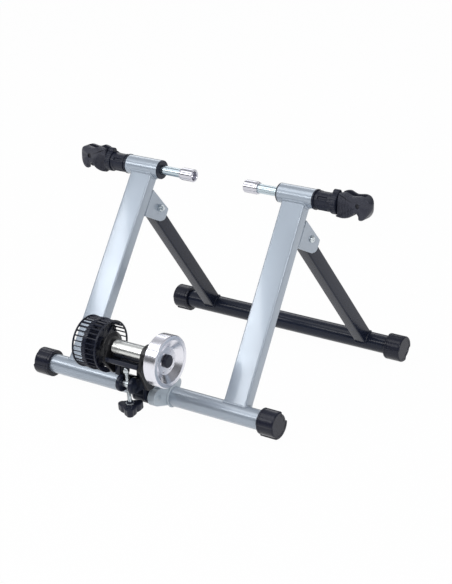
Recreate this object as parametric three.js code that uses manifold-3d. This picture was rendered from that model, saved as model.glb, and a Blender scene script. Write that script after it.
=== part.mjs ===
// Folding turbo trainer for the rear wheel of a bicycle: two frames hinged together, two wheel-axle
// clamps, and a fan-and-flywheel roller unit that a knob presses against the tyre.
// Millimetres, +Z up, X along the base tubes to the rider's right, Y towards the rear base tube.
import * as THREE from "three";
import { mergeVertices } from "three/addons/utils/BufferGeometryUtils.js";
import Module from "manifold-3d";

const wasm = await Module();
wasm.setup();

// Shared clearances
const weld_gap = 0.3;
const fit_gap = 0.3;
const overrun = 5;

// Stand: base tubes, legs and clamp axis
const tube_radius = 19;
const tube_wall = 1.6;
const tube_axis_height = 27;
const base_tube_half_length = 279;
const base_tube_spacing = 463;
const clamp_axis_back = 216;
const clamp_axis_height = 392;
const clamp_tube_inner_end = 142;
const clamp_tube_outer_end = 219;
const front_leg_width = 50;
const front_leg_depth = 25;
const front_leg_wall = 1.5;
const front_leg_corner = 3.5;
const front_leg_foot_x = 186;
const front_leg_top_x = 179;

// Rear frame and its hinges
const hinge_x = 180;
const hinge_reach = 50;
const hinge_drop = 83;
const rear_leg_width = 25.5;
const rear_leg_depth = 30;
const rear_leg_wall = 1.5;
const rear_leg_corner = 3;
const rear_leg_foot_x = 190;
const bracket_plate = 3;
const bracket_top_rise = 26.5;
const bracket_tip_rise = 8;
const bracket_tip_reach = 31.5;
const bracket_heel_drop = 24;
const bracket_heel_reach = 14;
const bracket_root_drop = 29;
const bracket_corner = 11;
const hinge_bolt_radius = 4;
const hinge_head_radius = 7.2;
const hinge_head_height = 5;
const hinge_nut_radius = 7.5;
const hinge_nut_height = 6.5;
const hinge_bolt_proud = 2.5;
const spacer_radius = 9;
const lean_gap = 0.9;

// Levelling feet
const foot_length = 36;
const foot_end_wall = 4;
const foot_stand_radius = 27.4;
const foot_pad_radius = 25.8;
const foot_step_radius = 24.4;
const foot_valley_radius = 21.8;
const foot_end_bevel = 2.2;

// Axle clamps, measured outwards along X from the middle plane
const rod_radius = 9;
const cup_radius = 12.5;
const cup_inner_end = 61;
const cup_outer_end = 92;
const cup_socket_radius = 8.5;
const cup_socket_depth = 11;
const cup_neck_radius = 10.6;
const cup_neck_length = 3;
const rod_inner_end = 80;
const bush_flange_radius = 18.8;
const bush_flange_thickness = 2.5;
const bush_spigot_length = 22;
const sleeve_radius = 18.4;
const sleeve_flange_radius = 19.8;
const sleeve_flange_thickness = 3;
const sleeve_outer_end = 258;
const sleeve_rib_width = 4;
const sleeve_rib_proud = 1.6;
const sleeve_slot_width = 4.4;
const sleeve_slot_depth = 2.2;
const collar_radius = 21;
const collar_length = 12.6;
const collar_lug_radius = 7;
const collar_lug_height = 20;
const tongue_start = 262;
const tongue_thickness = 12;
const lever_pin_reach = 44.1;
const lever_pin_rise = 5;
const lever_pin_radius = 4;
const eye_radius = 9;
const lever_thickness = 27;
const lever_slot_reach = 12;
const pin_recess = 2;

// Roller unit: one pivot on the front base tube, the roller axle, and the adjuster's trunnion
const pivot_back = -44;
const pivot_height = 38;
const pivot_bolt_radius = 4;
const pivot_head_radius = 7.5;
const pivot_head_height = 5;
const pivot_nut_radius = 7;
const pivot_nut_height = 6;
const ear_radius = 16.5;
const ear_thickness = 3;
const ear_inner_x = 27.5;
const ear_outer_x = 43;
const ear_rear_radius = 9;
const ear_rear_back = 18;
const ear_rear_rise = 21;
const axle_back = -72;
const axle_height = 131;
const axle_radius = 6;
const roller_radius = 16.2;
const roller_bore = 13.5;
const roller_left_x = -34;
const roller_right_x = 34;
const arm_thickness = 7;
const left_arm_x = -45;
const right_arm_x = 37;
const arm_eye_radius = 22;
const bearing_radius = 14;
const bearing_width = 6;
const hub_cone_radius = 29;
const hub_cone_tip_radius = 19.5;
const arm_width = 25;
const left_arm_foot_height = 80;
const right_arm_foot_height = 63;
const arm_foot_back = -68;
const web_front_back = -102;
const web_rear_back = -47;
const web_bottom = 110;
const web_thickness = 2.5;
const web_lip_height = 10;
const riser_thickness = 5;
const riser_low_height = 88;
const block_width = 13;
const block_front_back = -74;
const block_low_height = 77;
const knuckle_radius = 15;
const knuckle_left_x = -2.7;
const knuckle_right_x = 16.7;

// Fan
const fan_radius = 50;
const fan_left_x = -101;
const fan_plate_x = -77;
const fan_plate_thickness = 5;
const fan_right_x = -46;
const fan_rim_width = 2.6;
const fan_rim_depth = 3;
const fan_blade_count = 30;
const fan_blade_depth = 9;
const fan_blade_thickness = 2;
const fan_hub_radius = 13;
const fan_hub_length = 20;

// Flywheel
const flywheel_radius = 50;
const flywheel_inner_x = 66;
const flywheel_outer_x = 92;
const flywheel_ring_radius = 41;
const flywheel_dish_radius = 26;
const flywheel_dish_depth = 9;
const flywheel_bevel = 1.5;
const flywheel_back_web = 10;
const flywheel_boss_radius = 14;
const flywheel_cap_radius = 12.4;
const flywheel_cap_proud = 1.5;
const flywheel_hole_count = 6;
const flywheel_hole_radius = 2.2;
const flywheel_hole_circle = 20;
const flywheel_hole_depth = 4;

// Adjuster: fixed bracket with two lugs, trunnion nut, screw, knob
const trunnion_back = -91.5;
const trunnion_height = 74;
const screw_x = 7;
const screw_lean_degrees = 7.3;
const screw_radius = 4;
const lug_radius_left = 17;
const lug_radius_right = 15.5;
const cheek_thickness = 7;
const cheek_elbow_back = -52;
const cheek_elbow_height = 66;
const cheek_elbow_radius = 8;
const cheek_bridge_back = -70;
const cheek_bridge_height = 70;
const cheek_bridge_radius = 5;
const trunnion_radius = 6.5;
const trunnion_journal_radius = 4.2;
const trunnion_length = 19.2;
const knob_reach = 26;
const knob_lobe_radius = 7;
const knob_hub_radius = 11;
const knob_top_drop = 43;
const knob_thickness = 15;
const knob_turn_degrees = 25;
const knob_boss_radius = 9;
const knob_boss_height = 2;
const washer_radius = 8;
const washer_thickness = 1.8;
const jam_nut_radius = 6.5;
const jam_nut_height = 3;
const cap_height = 6;
const cap_radius = 6;
const cap_skirt = 4;
const dome_radius = 10;
const dome_gap = 0.6;

// Facet counts
const round_steps = 24;
const fine_steps = 32;
const small_steps = 12;
const bolt_steps = 8;
const hex_steps = 6;

const front_most = axle_back - fan_radius;
const rear_most = base_tube_spacing + foot_stand_radius;
const middle_back = (front_most + rear_most) / 2;

// Materials
function material(color, roughness, metalness) {
  return new THREE.MeshStandardMaterial({ color, roughness, metalness });
}
const silver_paint = material(0xb6bfcc, 0.35, 0.3);
const black_paint = material(0x2c2d33, 0.35, 0.2);
const black_plastic = material(0x26272b, 0.55, 0);
const foot_rubber = material(0x2a2b2f, 0.7, 0);
const zinc = material(0xbcc8cc, 0.3, 0.9);
const chrome = material(0xd9dbde, 0.12, 1);
const machined_steel = material(0xc9cacf, 0.2, 1);
const steel = material(0x9a9ca0, 0.35, 0.9);

// From a three.js geometry to a closed solid with outward faces, and back
function to_solid(source) {
  const bare = source.clone();
  for (const attribute of Object.keys(bare.attributes)) {
    if (attribute !== "position") bare.deleteAttribute(attribute);
  }
  const merged = mergeVertices(bare, 1e-4);
  const places = merged.attributes.position;
  const index = merged.index.array;
  const corners = [];
  let volume = 0;
  const [a, b, c] = [new THREE.Vector3(), new THREE.Vector3(), new THREE.Vector3()];
  for (let i = 0; i < index.length; i += 3) {
    const [p, q, r] = [index[i], index[i + 1], index[i + 2]];
    if (p === q || q === r || r === p) continue;
    corners.push(p, q, r);
    a.fromBufferAttribute(places, p);
    b.fromBufferAttribute(places, q);
    c.fromBufferAttribute(places, r);
    volume += a.dot(b.cross(c));
  }
  if (volume < 0) {
    for (let i = 0; i < corners.length; i += 3) {
      [corners[i], corners[i + 1]] = [corners[i + 1], corners[i]];
    }
  }
  return new wasm.Manifold(new wasm.Mesh({
    numProp: 3,
    vertProperties: Float32Array.from(places.array),
    triVerts: Uint32Array.from(corners),
  }));
}

function to_geometry(solid) {
  const result = solid.getMesh();
  const geometry = new THREE.BufferGeometry();
  const places = new Float32Array(result.numVert * 3);
  for (let i = 0; i < result.numVert; i += 1) {
    for (let k = 0; k < 3; k += 1) places[3 * i + k] = result.vertProperties[result.numProp * i + k];
  }
  geometry.setAttribute("position", new THREE.BufferAttribute(places, 3));
  geometry.setIndex(new THREE.BufferAttribute(Uint32Array.from(result.triVerts), 1));
  geometry.computeVertexNormals();
  return geometry;
}

function placed(geometry, x_axis, y_axis, z_axis, origin) {
  const matrix = new THREE.Matrix4().makeBasis(x_axis, y_axis, z_axis);
  matrix.setPosition(origin);
  return to_solid(geometry.clone().applyMatrix4(matrix));
}

const X = new THREE.Vector3(1, 0, 0);
const Y = new THREE.Vector3(0, 1, 0);
const Z = new THREE.Vector3(0, 0, 1);

// An outline in (Y, Z), extruded along X from one place to another
function plate_x(outline, from, to) {
  const flat = new THREE.ExtrudeGeometry(new THREE.Shape(outline), { depth: to - from, bevelEnabled: false });
  return placed(flat, Y, Z, X, new THREE.Vector3(from, 0, 0));
}

// An outline in (X, Z), extruded along Y from one place to another
function plate_y(outline, from, to) {
  const flat = new THREE.ExtrudeGeometry(new THREE.Shape(outline), { depth: to - from, bevelEnabled: false });
  return placed(flat, X, Z, Y.clone().negate(), new THREE.Vector3(0, to, 0));
}

// An outline in (X, Y), extruded along Z from one height to another
function plate_z(outline, from, to) {
  const flat = new THREE.ExtrudeGeometry(new THREE.Shape(outline), { depth: to - from, bevelEnabled: false });
  return placed(flat, X, Y, Z, new THREE.Vector3(0, 0, from));
}

// A profile of [radius, place along X] turned about a line along X through (back, height)
function turned_x(profile, back, height, steps) {
  const points = profile.map(([radius, along]) => new THREE.Vector2(radius, along));
  return placed(new THREE.LatheGeometry(points, steps), Z, X, Y, new THREE.Vector3(0, back, height));
}

function bar_x(radius, from, to, back, height, steps) {
  return turned_x([[0, from], [radius, from], [radius, to], [0, to]], back, height, steps);
}

function pipe_x(outer, inner, from, to, back, height, steps) {
  const profile = [[inner, from], [outer, from], [outer, to], [inner, to], [inner, from]];
  return turned_x(profile, back, height, steps);
}

function box(from, to) {
  const size = to.map((value, i) => value - from[i]);
  const centre = to.map((value, i) => (value + from[i]) / 2);
  const geometry = new THREE.BoxGeometry(...size).translate(...centre);
  return to_solid(geometry);
}

// Points of a circle, and the outline that goes tight round several circles
function circle_points([across, up, radius], steps) {
  const turn = (2 * Math.PI) / steps;
  return Array.from({ length: steps }, (_, i) => new THREE.Vector2(
    across + radius * Math.cos(i * turn),
    up + radius * Math.sin(i * turn),
  ));
}

function wrapped(circles, steps = fine_steps) {
  const points = circles.flatMap((circle) => circle_points(circle, steps));
  points.sort((p, q) => p.x - q.x || p.y - q.y);
  const cross = (o, p, q) => (p.x - o.x) * (q.y - o.y) - (p.y - o.y) * (q.x - o.x);
  const half = (list) => {
    const chain = [];
    for (const point of list) {
      while (chain.length > 1 && cross(chain.at(-2), chain.at(-1), point) <= 0) chain.pop();
      chain.push(point);
    }
    chain.pop();
    return chain;
  };
  return [...half(points), ...half([...points].reverse())];
}

// A rectangle with rounded corners, centred on zero
function rounded_rectangle(width, height, corner) {
  const [w, h] = [width / 2 - corner, height / 2 - corner];
  return wrapped([[-w, -h, corner], [w, -h, corner], [w, h, corner], [-w, h, corner]], small_steps);
}

function part(name, solid, finish) {
  const mesh = new THREE.Mesh(to_geometry(solid), finish);
  mesh.name = name;
  return mesh;
}

const sides = [["left", -1], ["right", 1]];
const mirrored = (solid, side) => (side < 0 ? solid.mirror([1, 0, 0]) : solid);

const trainer = new THREE.Group();
const stand = new THREE.Group();
stand.position.y = -middle_back;
trainer.add(stand);

// Base tubes
function base_tube(back) {
  return pipe_x(tube_radius, tube_radius - tube_wall, -base_tube_half_length, base_tube_half_length,
    back, tube_axis_height, round_steps);
}
stand.add(part("front_base_tube", base_tube(0), silver_paint));
stand.add(part("rear_base_tube", base_tube(base_tube_spacing), black_paint));

// The space that a welded neighbour keeps clear of a round tube
function tube_room(from, to, back, height) {
  return bar_x(tube_radius + weld_gap, from, to, back, height, round_steps);
}

// Front legs: rectangular tube from the base tube up to the clamp tube, leaning in towards the top
const leg_foot = new THREE.Vector3(front_leg_foot_x, 0, tube_axis_height);
const leg_top = new THREE.Vector3(front_leg_top_x, clamp_axis_back, clamp_axis_height);
const leg_rise = clamp_axis_height - tube_axis_height;
const leg_slope = Math.atan2(clamp_axis_back, leg_rise);
const leg_up = new THREE.Vector2(Math.sin(leg_slope), Math.cos(leg_slope));
const leg_out = new THREE.Vector2(Math.cos(leg_slope), -Math.sin(leg_slope));
const hinge_height = clamp_axis_height - hinge_drop;
const hinge_back = (hinge_reach - (hinge_height - tube_axis_height) * leg_out.y) / leg_out.x;

function sloped_tube(foot, top, width, depth, corner, wall) {
  const up = top.clone().sub(foot);
  const length = up.length();
  up.normalize();
  const across = X.clone().addScaledVector(up, -X.dot(up)).normalize();
  const out = up.clone().cross(across);
  const extrude = (w, d, r, start, end) => placed(
    new THREE.ExtrudeGeometry(new THREE.Shape(rounded_rectangle(w, d, r)),
      { depth: end - start, bevelEnabled: false }),
    across, out, up, foot.clone().addScaledVector(up, start),
  );
  const skin = extrude(width, depth, corner, 0, length);
  const core = extrude(width - 2 * wall, depth - 2 * wall, corner - wall, -overrun, length + overrun);
  return skin.subtract(core);
}

function front_leg() {
  const leg = sloped_tube(leg_foot, leg_top, front_leg_width, front_leg_depth, front_leg_corner,
    front_leg_wall);
  const low = tube_room(0, base_tube_half_length, 0, tube_axis_height);
  const high = tube_room(0, clamp_tube_outer_end, clamp_axis_back, clamp_axis_height);
  return leg.subtract(low).subtract(high);
}

// Hinge brackets: channel behind each front leg, its two plates drawn round the hinge bolt
function leg_point(rise, reach) {
  return new THREE.Vector2(
    hinge_back + rise * leg_up.x + reach * leg_out.x,
    hinge_height + rise * leg_up.y + reach * leg_out.y,
  );
}
const hinge_standoff = hinge_reach - front_leg_depth / 2 - weld_gap;

function hinge_bracket() {
  const r = bracket_corner;
  const heel = leg_point(-bracket_heel_drop + r, bracket_heel_reach);
  const tip = leg_point(bracket_tip_rise - bracket_plate, bracket_tip_reach - bracket_plate);
  const low_tip = leg_point(bracket_tip_rise - bracket_heel_drop / 2 - r / 2, bracket_tip_reach - r);
  const round = wrapped([[heel.x, heel.y, r], [low_tip.x, low_tip.y, r], [tip.x, tip.y, bracket_plate]]);
  const root_low = leg_point(-bracket_root_drop, -hinge_standoff);
  const root_high = leg_point(bracket_top_rise, -hinge_standoff);
  const outline = wrapped([...[root_low, root_high].map((p) => [p.x, p.y, 0]),
    ...round.map((p) => [p.x, p.y, 0])], 1);
  const half = front_leg_width / 2;
  const plates = plate_x(outline, hinge_x - half, hinge_x + half);
  const web = [[-bracket_root_drop, bracket_plate], [-bracket_root_drop, 3 * half],
    [bracket_top_rise, 3 * half], [bracket_top_rise, bracket_plate]]
    .map(([rise, depth]) => leg_point(rise * 2, depth - hinge_standoff));
  const gap = plate_x(web, hinge_x - half + bracket_plate, hinge_x + half - bracket_plate);
  const hole = bar_x(hinge_bolt_radius + fit_gap, hinge_x - half - overrun, hinge_x + half + overrun,
    hinge_back, hinge_height, small_steps);
  return plates.subtract(gap).subtract(hole);
}

// Rear legs: square tube with a round head on the hinge bolt
const rear_foot = new THREE.Vector3(rear_leg_foot_x, base_tube_spacing, tube_axis_height);
const rear_head = new THREE.Vector3(hinge_x, hinge_back, hinge_height);

function rear_leg() {
  const up = rear_head.clone().sub(rear_foot).normalize();
  const over = rear_head.clone().addScaledVector(up, rear_leg_depth / 2);
  const leg = sloped_tube(rear_foot, over, rear_leg_width, rear_leg_depth, rear_leg_corner, rear_leg_wall);
  const [low, high] = [hinge_x - rear_leg_width, hinge_x + rear_leg_width];
  const round = bar_x(rear_leg_depth / 2, low, high, hinge_back, hinge_height, round_steps);
  const slope = Math.atan2(base_tube_spacing - hinge_back, hinge_height - tube_axis_height);
  const [sine, cosine] = [Math.sin(slope), Math.cos(slope)];
  const half = rear_leg_depth;
  const head_room = [[half, 0], [half, 2 * half], [-half, 2 * half], [-half, 0]].map(([out, rise]) => (
    new THREE.Vector2(hinge_back - rise * sine + out * cosine, hinge_height + rise * cosine + out * sine)
  ));
  const trim = plate_x(head_room, low, high).subtract(round);
  const hole = bar_x(hinge_bolt_radius + fit_gap, low, high, hinge_back, hinge_height, small_steps);
  const room = tube_room(0, base_tube_half_length, base_tube_spacing, tube_axis_height);
  return leg.subtract(trim).subtract(hole).subtract(room);
}

const spacer_near = rear_leg_width / 2 + lean_gap;
const spacer_far = front_leg_width / 2 - bracket_plate - fit_gap;

function hinge_spacer(from, to) {
  return pipe_x(spacer_radius, hinge_bolt_radius + fit_gap, hinge_x + from, hinge_x + to,
    hinge_back, hinge_height, small_steps);
}

// A bolt along X: six-sided head at the outer end, and a six-sided nut
function bolt_x(radius, from, to, head_radius, head_height, back, height) {
  const shank = bar_x(radius, from, to, back, height, bolt_steps);
  const head = bar_x(head_radius, to, to + head_height, back, height, hex_steps);
  return shank.add(head);
}
function nut_x(radius, bore, from, to, back, height) {
  const body = bar_x(radius, from, to, back, height, hex_steps);
  return body.subtract(bar_x(bore, from - overrun, to + overrun, back, height, bolt_steps));
}

const hinge_face = front_leg_width / 2 + fit_gap;
const hinge_tail = hinge_face + hinge_nut_height + hinge_bolt_proud;
const hinge_bolt = bolt_x(hinge_bolt_radius, hinge_x - hinge_tail, hinge_x + hinge_face, hinge_head_radius,
  hinge_head_height, hinge_back, hinge_height);
const hinge_nut = nut_x(hinge_nut_radius, hinge_bolt_radius + fit_gap, hinge_x - hinge_face - hinge_nut_height,
  hinge_x - hinge_face, hinge_back, hinge_height);

// Axle clamps
const clamp_bore = rod_radius + fit_gap;
const in_clamp = [clamp_axis_back, clamp_axis_height];

function clamp_tube() {
  return pipe_x(tube_radius, tube_radius - tube_wall, clamp_tube_inner_end, clamp_tube_outer_end,
    ...in_clamp, round_steps);
}

const spigot_radius = tube_radius - tube_wall - fit_gap;

function clamp_bush() {
  const face = clamp_tube_inner_end - fit_gap;
  const start = face - bush_flange_thickness;
  const end = clamp_tube_inner_end + bush_spigot_length;
  return turned_x([[clamp_bore, start], [bush_flange_radius, start], [bush_flange_radius, face],
    [spigot_radius, face], [spigot_radius, end], [clamp_bore, end], [clamp_bore, start]],
  ...in_clamp, round_steps);
}

function clamp_sleeve() {
  const face = clamp_tube_outer_end + fit_gap;
  const flange = face + sleeve_flange_thickness;
  const body = turned_x([[clamp_bore, face - bush_spigot_length], [spigot_radius, face - bush_spigot_length],
    [spigot_radius, face], [sleeve_flange_radius, face], [sleeve_flange_radius, flange],
    [sleeve_radius, flange], [sleeve_radius, sleeve_outer_end], [clamp_bore, sleeve_outer_end],
    [clamp_bore, face - bush_spigot_length]], ...in_clamp, round_steps);
  const rib_from = flange + sleeve_rib_width;
  const half = sleeve_rib_width / 2;
  const rib_top = sleeve_radius + sleeve_rib_proud;
  const rib_root = sleeve_radius - sleeve_slot_depth;
  const rib = box([rib_from, clamp_axis_back - half, clamp_axis_height - rib_top],
    [sleeve_outer_end - half, clamp_axis_back + half, clamp_axis_height - rib_root]);
  const slot_half = sleeve_slot_width / 2;
  const slot_rise = sleeve_radius / 2;
  const slot_front = clamp_axis_back - sleeve_radius - overrun;
  const slot_floor = clamp_axis_back - Math.sqrt(sleeve_radius ** 2 - slot_rise ** 2) + sleeve_slot_depth;
  const slot = box([rib_from, slot_front, clamp_axis_height + slot_rise - slot_half],
    [sleeve_outer_end - sleeve_rib_width, slot_floor, clamp_axis_height + slot_rise + slot_half]);
  return body.add(rib).subtract(slot);
}

function lock_collar() {
  const ring = bar_x(collar_radius, collar_start, collar_end, ...in_clamp, round_steps);
  const lug = bar_x(collar_lug_radius, collar_start, collar_end, clamp_axis_back,
    clamp_axis_height + collar_lug_height, small_steps);
  const bore = bar_x(clamp_bore, collar_start - overrun, collar_end + overrun, ...in_clamp, round_steps);
  return ring.add(lug).subtract(bore);
}

const collar_start = sleeve_outer_end + fit_gap;
const collar_end = collar_start + collar_length;
const lever_pin_out = collar_end + lever_pin_reach;

// Round rod whose outer end is milled to a flat tongue with an eye for the lever pin
function clamp_rod() {
  const half = tongue_thickness / 2;
  const [front, rear] = [clamp_axis_back - half, clamp_axis_back + half];
  const shank = bar_x(rod_radius, rod_inner_end, tongue_start, ...in_clamp, round_steps);
  const flat = box([tongue_start - overrun, front, clamp_axis_height - rod_radius],
    [collar_end + half, rear, clamp_axis_height + rod_radius]);
  const stem = bar_x(rod_radius, tongue_start - overrun, collar_end + half, ...in_clamp, round_steps);
  const root = rod_radius / 2;
  const eye = [lever_pin_out, clamp_axis_height + lever_pin_rise, eye_radius];
  const roots = [root, -root].map((rise) => [collar_end + root, clamp_axis_height + rise, root]);
  const tongue = plate_y(wrapped([eye, ...roots]), front, rear);
  return shank.add(stem.intersect(flat)).add(tongue).subtract(pin_hole());
}

// A round bar along Y through the lever pin's axis
function bar_pin(radius, half, steps) {
  const outline = circle_points([lever_pin_out, clamp_axis_height + lever_pin_rise, radius], steps);
  return plate_y(outline, clamp_axis_back - half, clamp_axis_back + half);
}

function pin_hole() {
  return bar_pin(lever_pin_radius + fit_gap, lever_thickness, small_steps);
}

function clamp_cup() {
  const neck = cup_outer_end - cup_neck_length;
  const floor = cup_inner_end + cup_socket_depth;
  const seat = rod_inner_end - fit_gap;
  return turned_x([[cup_socket_radius, cup_inner_end], [cup_radius, cup_inner_end], [cup_radius, neck],
    [cup_neck_radius, cup_outer_end], [clamp_bore, cup_outer_end], [clamp_bore, seat], [0, seat], [0, floor],
    [cup_socket_radius, floor], [cup_socket_radius, cup_inner_end]], ...in_clamp, round_steps);
}

// Lever outline as shares: outwards of the hook's reach past the pin, and up of the eye's height
const lever_outer_reach = 26;
const lever_inner_reach = 43.5;
const lever_top_rise = 22;
const lever_belly_drop = 27;
const lever_outline_steps = 56;

// Side view of the lever round its pin: shares of the reach (inwards < 0) and of the height (down < 0)
const lever_outline_shares = [
  [-1, 0.68], [-0.9, 0.86], [-0.74, 0.98], [-0.57, 1], [-0.36, 0.84], [-0.21, 0.8], [0.27, 0.89],
  [0.65, 0.73], [0.92, 0.36], [1, -0.04], [0.88, -0.41], [0.65, -0.74], [0.42, -0.94], [0.19, -0.98],
  [0.08, -0.9], [0.06, -0.72], [-0.05, -0.55], [-0.14, -0.55], [-0.25, -0.69], [-0.44, -0.89],
  [-0.69, -1], [-0.94, -0.98], [-1, -0.87]];

function lever_outline() {
  const points = lever_outline_shares.map(([along, up]) => new THREE.Vector3(
    lever_pin_out + along * (along < 0 ? lever_inner_reach : lever_outer_reach),
    clamp_axis_height + lever_pin_rise + up * (up < 0 ? lever_belly_drop : lever_top_rise), 0));
  const curve = new THREE.CatmullRomCurve3(points, true);
  return curve.getPoints(lever_outline_steps).slice(0, -1).map(({ x, y }) => new THREE.Vector2(x, y));
}

function clamp_lever() {
  const [from, to] = [clamp_axis_back - lever_thickness / 2, clamp_axis_back + lever_thickness / 2];
  const body = plate_y(lever_outline(), from, to);
  const slot_half = tongue_thickness / 2 + fit_gap;
  const slot_to = lever_pin_out + lever_slot_reach;
  const far = clamp_axis_height + lever_thickness * 2;
  const near = clamp_axis_height - lever_thickness * 2;
  const slot = box([tongue_start, clamp_axis_back - slot_half, near],
    [slot_to, clamp_axis_back + slot_half, far]);
  const inner_end = collar_end + fit_gap;
  const swing = bar_pin(lever_pin_out - inner_end, lever_thickness, fine_steps);
  const keep = swing.add(box([lever_pin_out, from - overrun, near], [far, to + overrun, far]))
    .add(box([inner_end, from - overrun, near], [far, to + overrun, clamp_axis_height + lever_pin_rise]));
  const nose_radius = lever_thickness / 2;
  const nose_at = lever_pin_out + lever_outer_reach - nose_radius;
  const nose = plate_z(wrapped([[nose_at, clamp_axis_back, nose_radius],
    [inner_end, clamp_axis_back, nose_radius]]), near, far);
  return body.intersect(keep).intersect(nose).subtract(slot).subtract(pin_hole());
}

function lever_pin() {
  return bar_pin(lever_pin_radius, lever_thickness / 2 - pin_recess, small_steps);
}

for (const [name, side] of sides) {
  const add = (label, solid, finish) => stand.add(part(`${label}_${name}`, mirrored(solid, side), finish));
  add("front_leg", front_leg(), silver_paint);
  add("clamp_tube", clamp_tube(), silver_paint);
  add("hinge_bracket", hinge_bracket(), silver_paint);
  add("hinge_bolt", hinge_bolt, zinc);
  add("hinge_nut", hinge_nut, zinc);
  add("rear_leg", rear_leg(), black_paint);
  add("hinge_spacer_inner", hinge_spacer(-spacer_far, -spacer_near), black_plastic);
  add("hinge_spacer_outer", hinge_spacer(spacer_near, spacer_far), black_plastic);
  add("clamp_bush", clamp_bush(), black_plastic);
  add("clamp_sleeve", clamp_sleeve(), black_plastic);
  add("lock_collar", lock_collar(), black_plastic);
  add("clamp_rod", clamp_rod(), zinc);
  add("clamp_cup", clamp_cup(), chrome);
  add("clamp_lever", clamp_lever(), black_plastic);
  add("lever_pin", lever_pin(), steel);
}

// Levelling feet: four pads of different radius; each foot is turned on its tube to suit the floor.
// A pad is [start turn share, end turn share, radius].
const foot_pads = [[0, 0.32, foot_stand_radius], [0.32, 0.5, foot_valley_radius],
  [0.5, 0.8, foot_pad_radius], [0.8, 1, foot_step_radius]];
const stand_pad_middle = 0.16;

function foot(back, pad_turn) {
  const inner = tube_radius + fit_gap;
  const end = base_tube_half_length + fit_gap + foot_end_wall;
  const start = end - foot_length;
  const outline = [];
  for (const [from, to, radius] of foot_pads) {
    const count = Math.round((to - from) * fine_steps);
    for (let i = 0; i <= count; i += 1) {
      const turn = from + ((to - from) * i) / count - stand_pad_middle + pad_turn - 1 / 4;
      const angle = 2 * Math.PI * turn;
      const [across, rise] = [radius * Math.cos(angle), radius * Math.sin(angle)];
      outline.push(new THREE.Vector2(back + across, tube_axis_height + rise));
    }
  }
  const shell = plate_x(outline, start, end);
  const bevel = turned_x([[0, start - overrun], [foot_stand_radius + overrun, start - overrun],
    [foot_stand_radius + overrun, end - overrun - foot_end_bevel], [foot_stand_radius - foot_end_bevel, end],
    [0, end]], back, tube_axis_height, round_steps);
  const socket = bar_x(inner, start - overrun, end - foot_end_wall, back, tube_axis_height, round_steps);
  const floor = box([start - overrun, back - foot_stand_radius - overrun, -foot_stand_radius],
    [end + overrun, back + foot_stand_radius + overrun, 0]);
  return shell.intersect(bevel).subtract(socket).subtract(floor);
}

// How far each foot is turned from the middle of its standing pad, as a share of a turn
const feet = [["foot_front_left", -1, 0, -0.08], ["foot_front_right", 1, 0, 0.1],
  ["foot_rear_left", -1, base_tube_spacing, 0.1], ["foot_rear_right", 1, base_tube_spacing, -0.11]];
for (const [name, side, back, turn] of feet) {
  stand.add(part(name, mirrored(foot(back, turn), side), foot_rubber));
}

// Bracket of the roller unit: two ears and a web welded on the front base tube
const in_pivot = [pivot_back, pivot_height];

// The pivot bolt's hole through a piece that lies between two places along X
function pivot_room(from, to) {
  return bar_x(pivot_bolt_radius + fit_gap, from - overrun, to + overrun, ...in_pivot, small_steps);
}

function unit_bracket() {
  const lobe = [...in_pivot, ear_radius];
  const rear = [ear_rear_back, tube_axis_height + ear_rear_rise, ear_rear_radius];
  const seat = [0, tube_axis_height, tube_radius - tube_wall];
  const outline = wrapped([lobe, rear, seat]);
  const whole = plate_x(outline, ear_inner_x, ear_outer_x);
  const inside = wrapped([[...in_pivot, ear_radius - ear_thickness],
    [ear_rear_back, tube_axis_height + ear_rear_rise, ear_rear_radius - ear_thickness],
    [-ear_radius, tube_axis_height - tube_radius, ear_thickness],
    [tube_radius, tube_axis_height, ear_thickness]]);
  const channel = plate_x(inside, ear_inner_x + ear_thickness, ear_outer_x - ear_thickness);
  const room = tube_room(ear_inner_x - overrun, ear_outer_x + overrun, 0, tube_axis_height);
  return whole.subtract(channel).subtract(room).subtract(pivot_room(ear_inner_x, ear_outer_x));
}
stand.add(part("unit_bracket", unit_bracket(), silver_paint));

// Adjuster bracket: two cheeks on the pivot bolt that carry the trunnion in their lugs
const cheek_left_x = knuckle_left_x - fit_gap - cheek_thickness;
const cheek_right_x = knuckle_right_x + fit_gap;
const cheek_end_x = cheek_right_x + cheek_thickness;
const in_trunnion = [trunnion_back, trunnion_height];

function cheek(from, lug_radius) {
  const elbow = [cheek_elbow_back, cheek_elbow_height, cheek_elbow_radius];
  const to = from + cheek_thickness;
  const arm = plate_x(wrapped([[...in_trunnion, lug_radius], elbow]), from, to);
  return arm.add(plate_x(wrapped([[...in_pivot, knuckle_radius], elbow]), from, to));
}

function adjuster_bracket() {
  const cheeks = cheek(cheek_left_x, lug_radius_left).add(cheek(cheek_right_x, lug_radius_right));
  const bridge = bar_x(cheek_bridge_radius, cheek_left_x + fit_gap, cheek_end_x - fit_gap, cheek_bridge_back,
    cheek_bridge_height, small_steps);
  const journal_room = bar_x(trunnion_journal_radius + fit_gap, cheek_left_x - overrun, cheek_end_x + overrun,
    ...in_trunnion, small_steps);
  return cheeks.add(bridge).subtract(pivot_room(cheek_left_x, cheek_end_x)).subtract(journal_room);
}
stand.add(part("adjuster_bracket", adjuster_bracket(), black_paint));

const pivot_bolt = bolt_x(pivot_bolt_radius, cheek_left_x - fit_gap - pivot_nut_height - hinge_bolt_proud,
  ear_outer_x + fit_gap, pivot_head_radius, pivot_head_height, ...in_pivot);
stand.add(part("pivot_bolt", pivot_bolt, zinc));
const pivot_nut = nut_x(pivot_nut_radius, pivot_bolt_radius + fit_gap,
  cheek_left_x - fit_gap - pivot_nut_height, cheek_left_x - fit_gap, ...in_pivot);
stand.add(part("pivot_nut", pivot_nut, zinc));
const pivot_spacer = pipe_x(knuckle_radius / 2, pivot_bolt_radius + fit_gap, cheek_end_x + fit_gap,
  ear_inner_x - fit_gap, ...in_pivot, small_steps);
stand.add(part("pivot_spacer", pivot_spacer, zinc));

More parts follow.
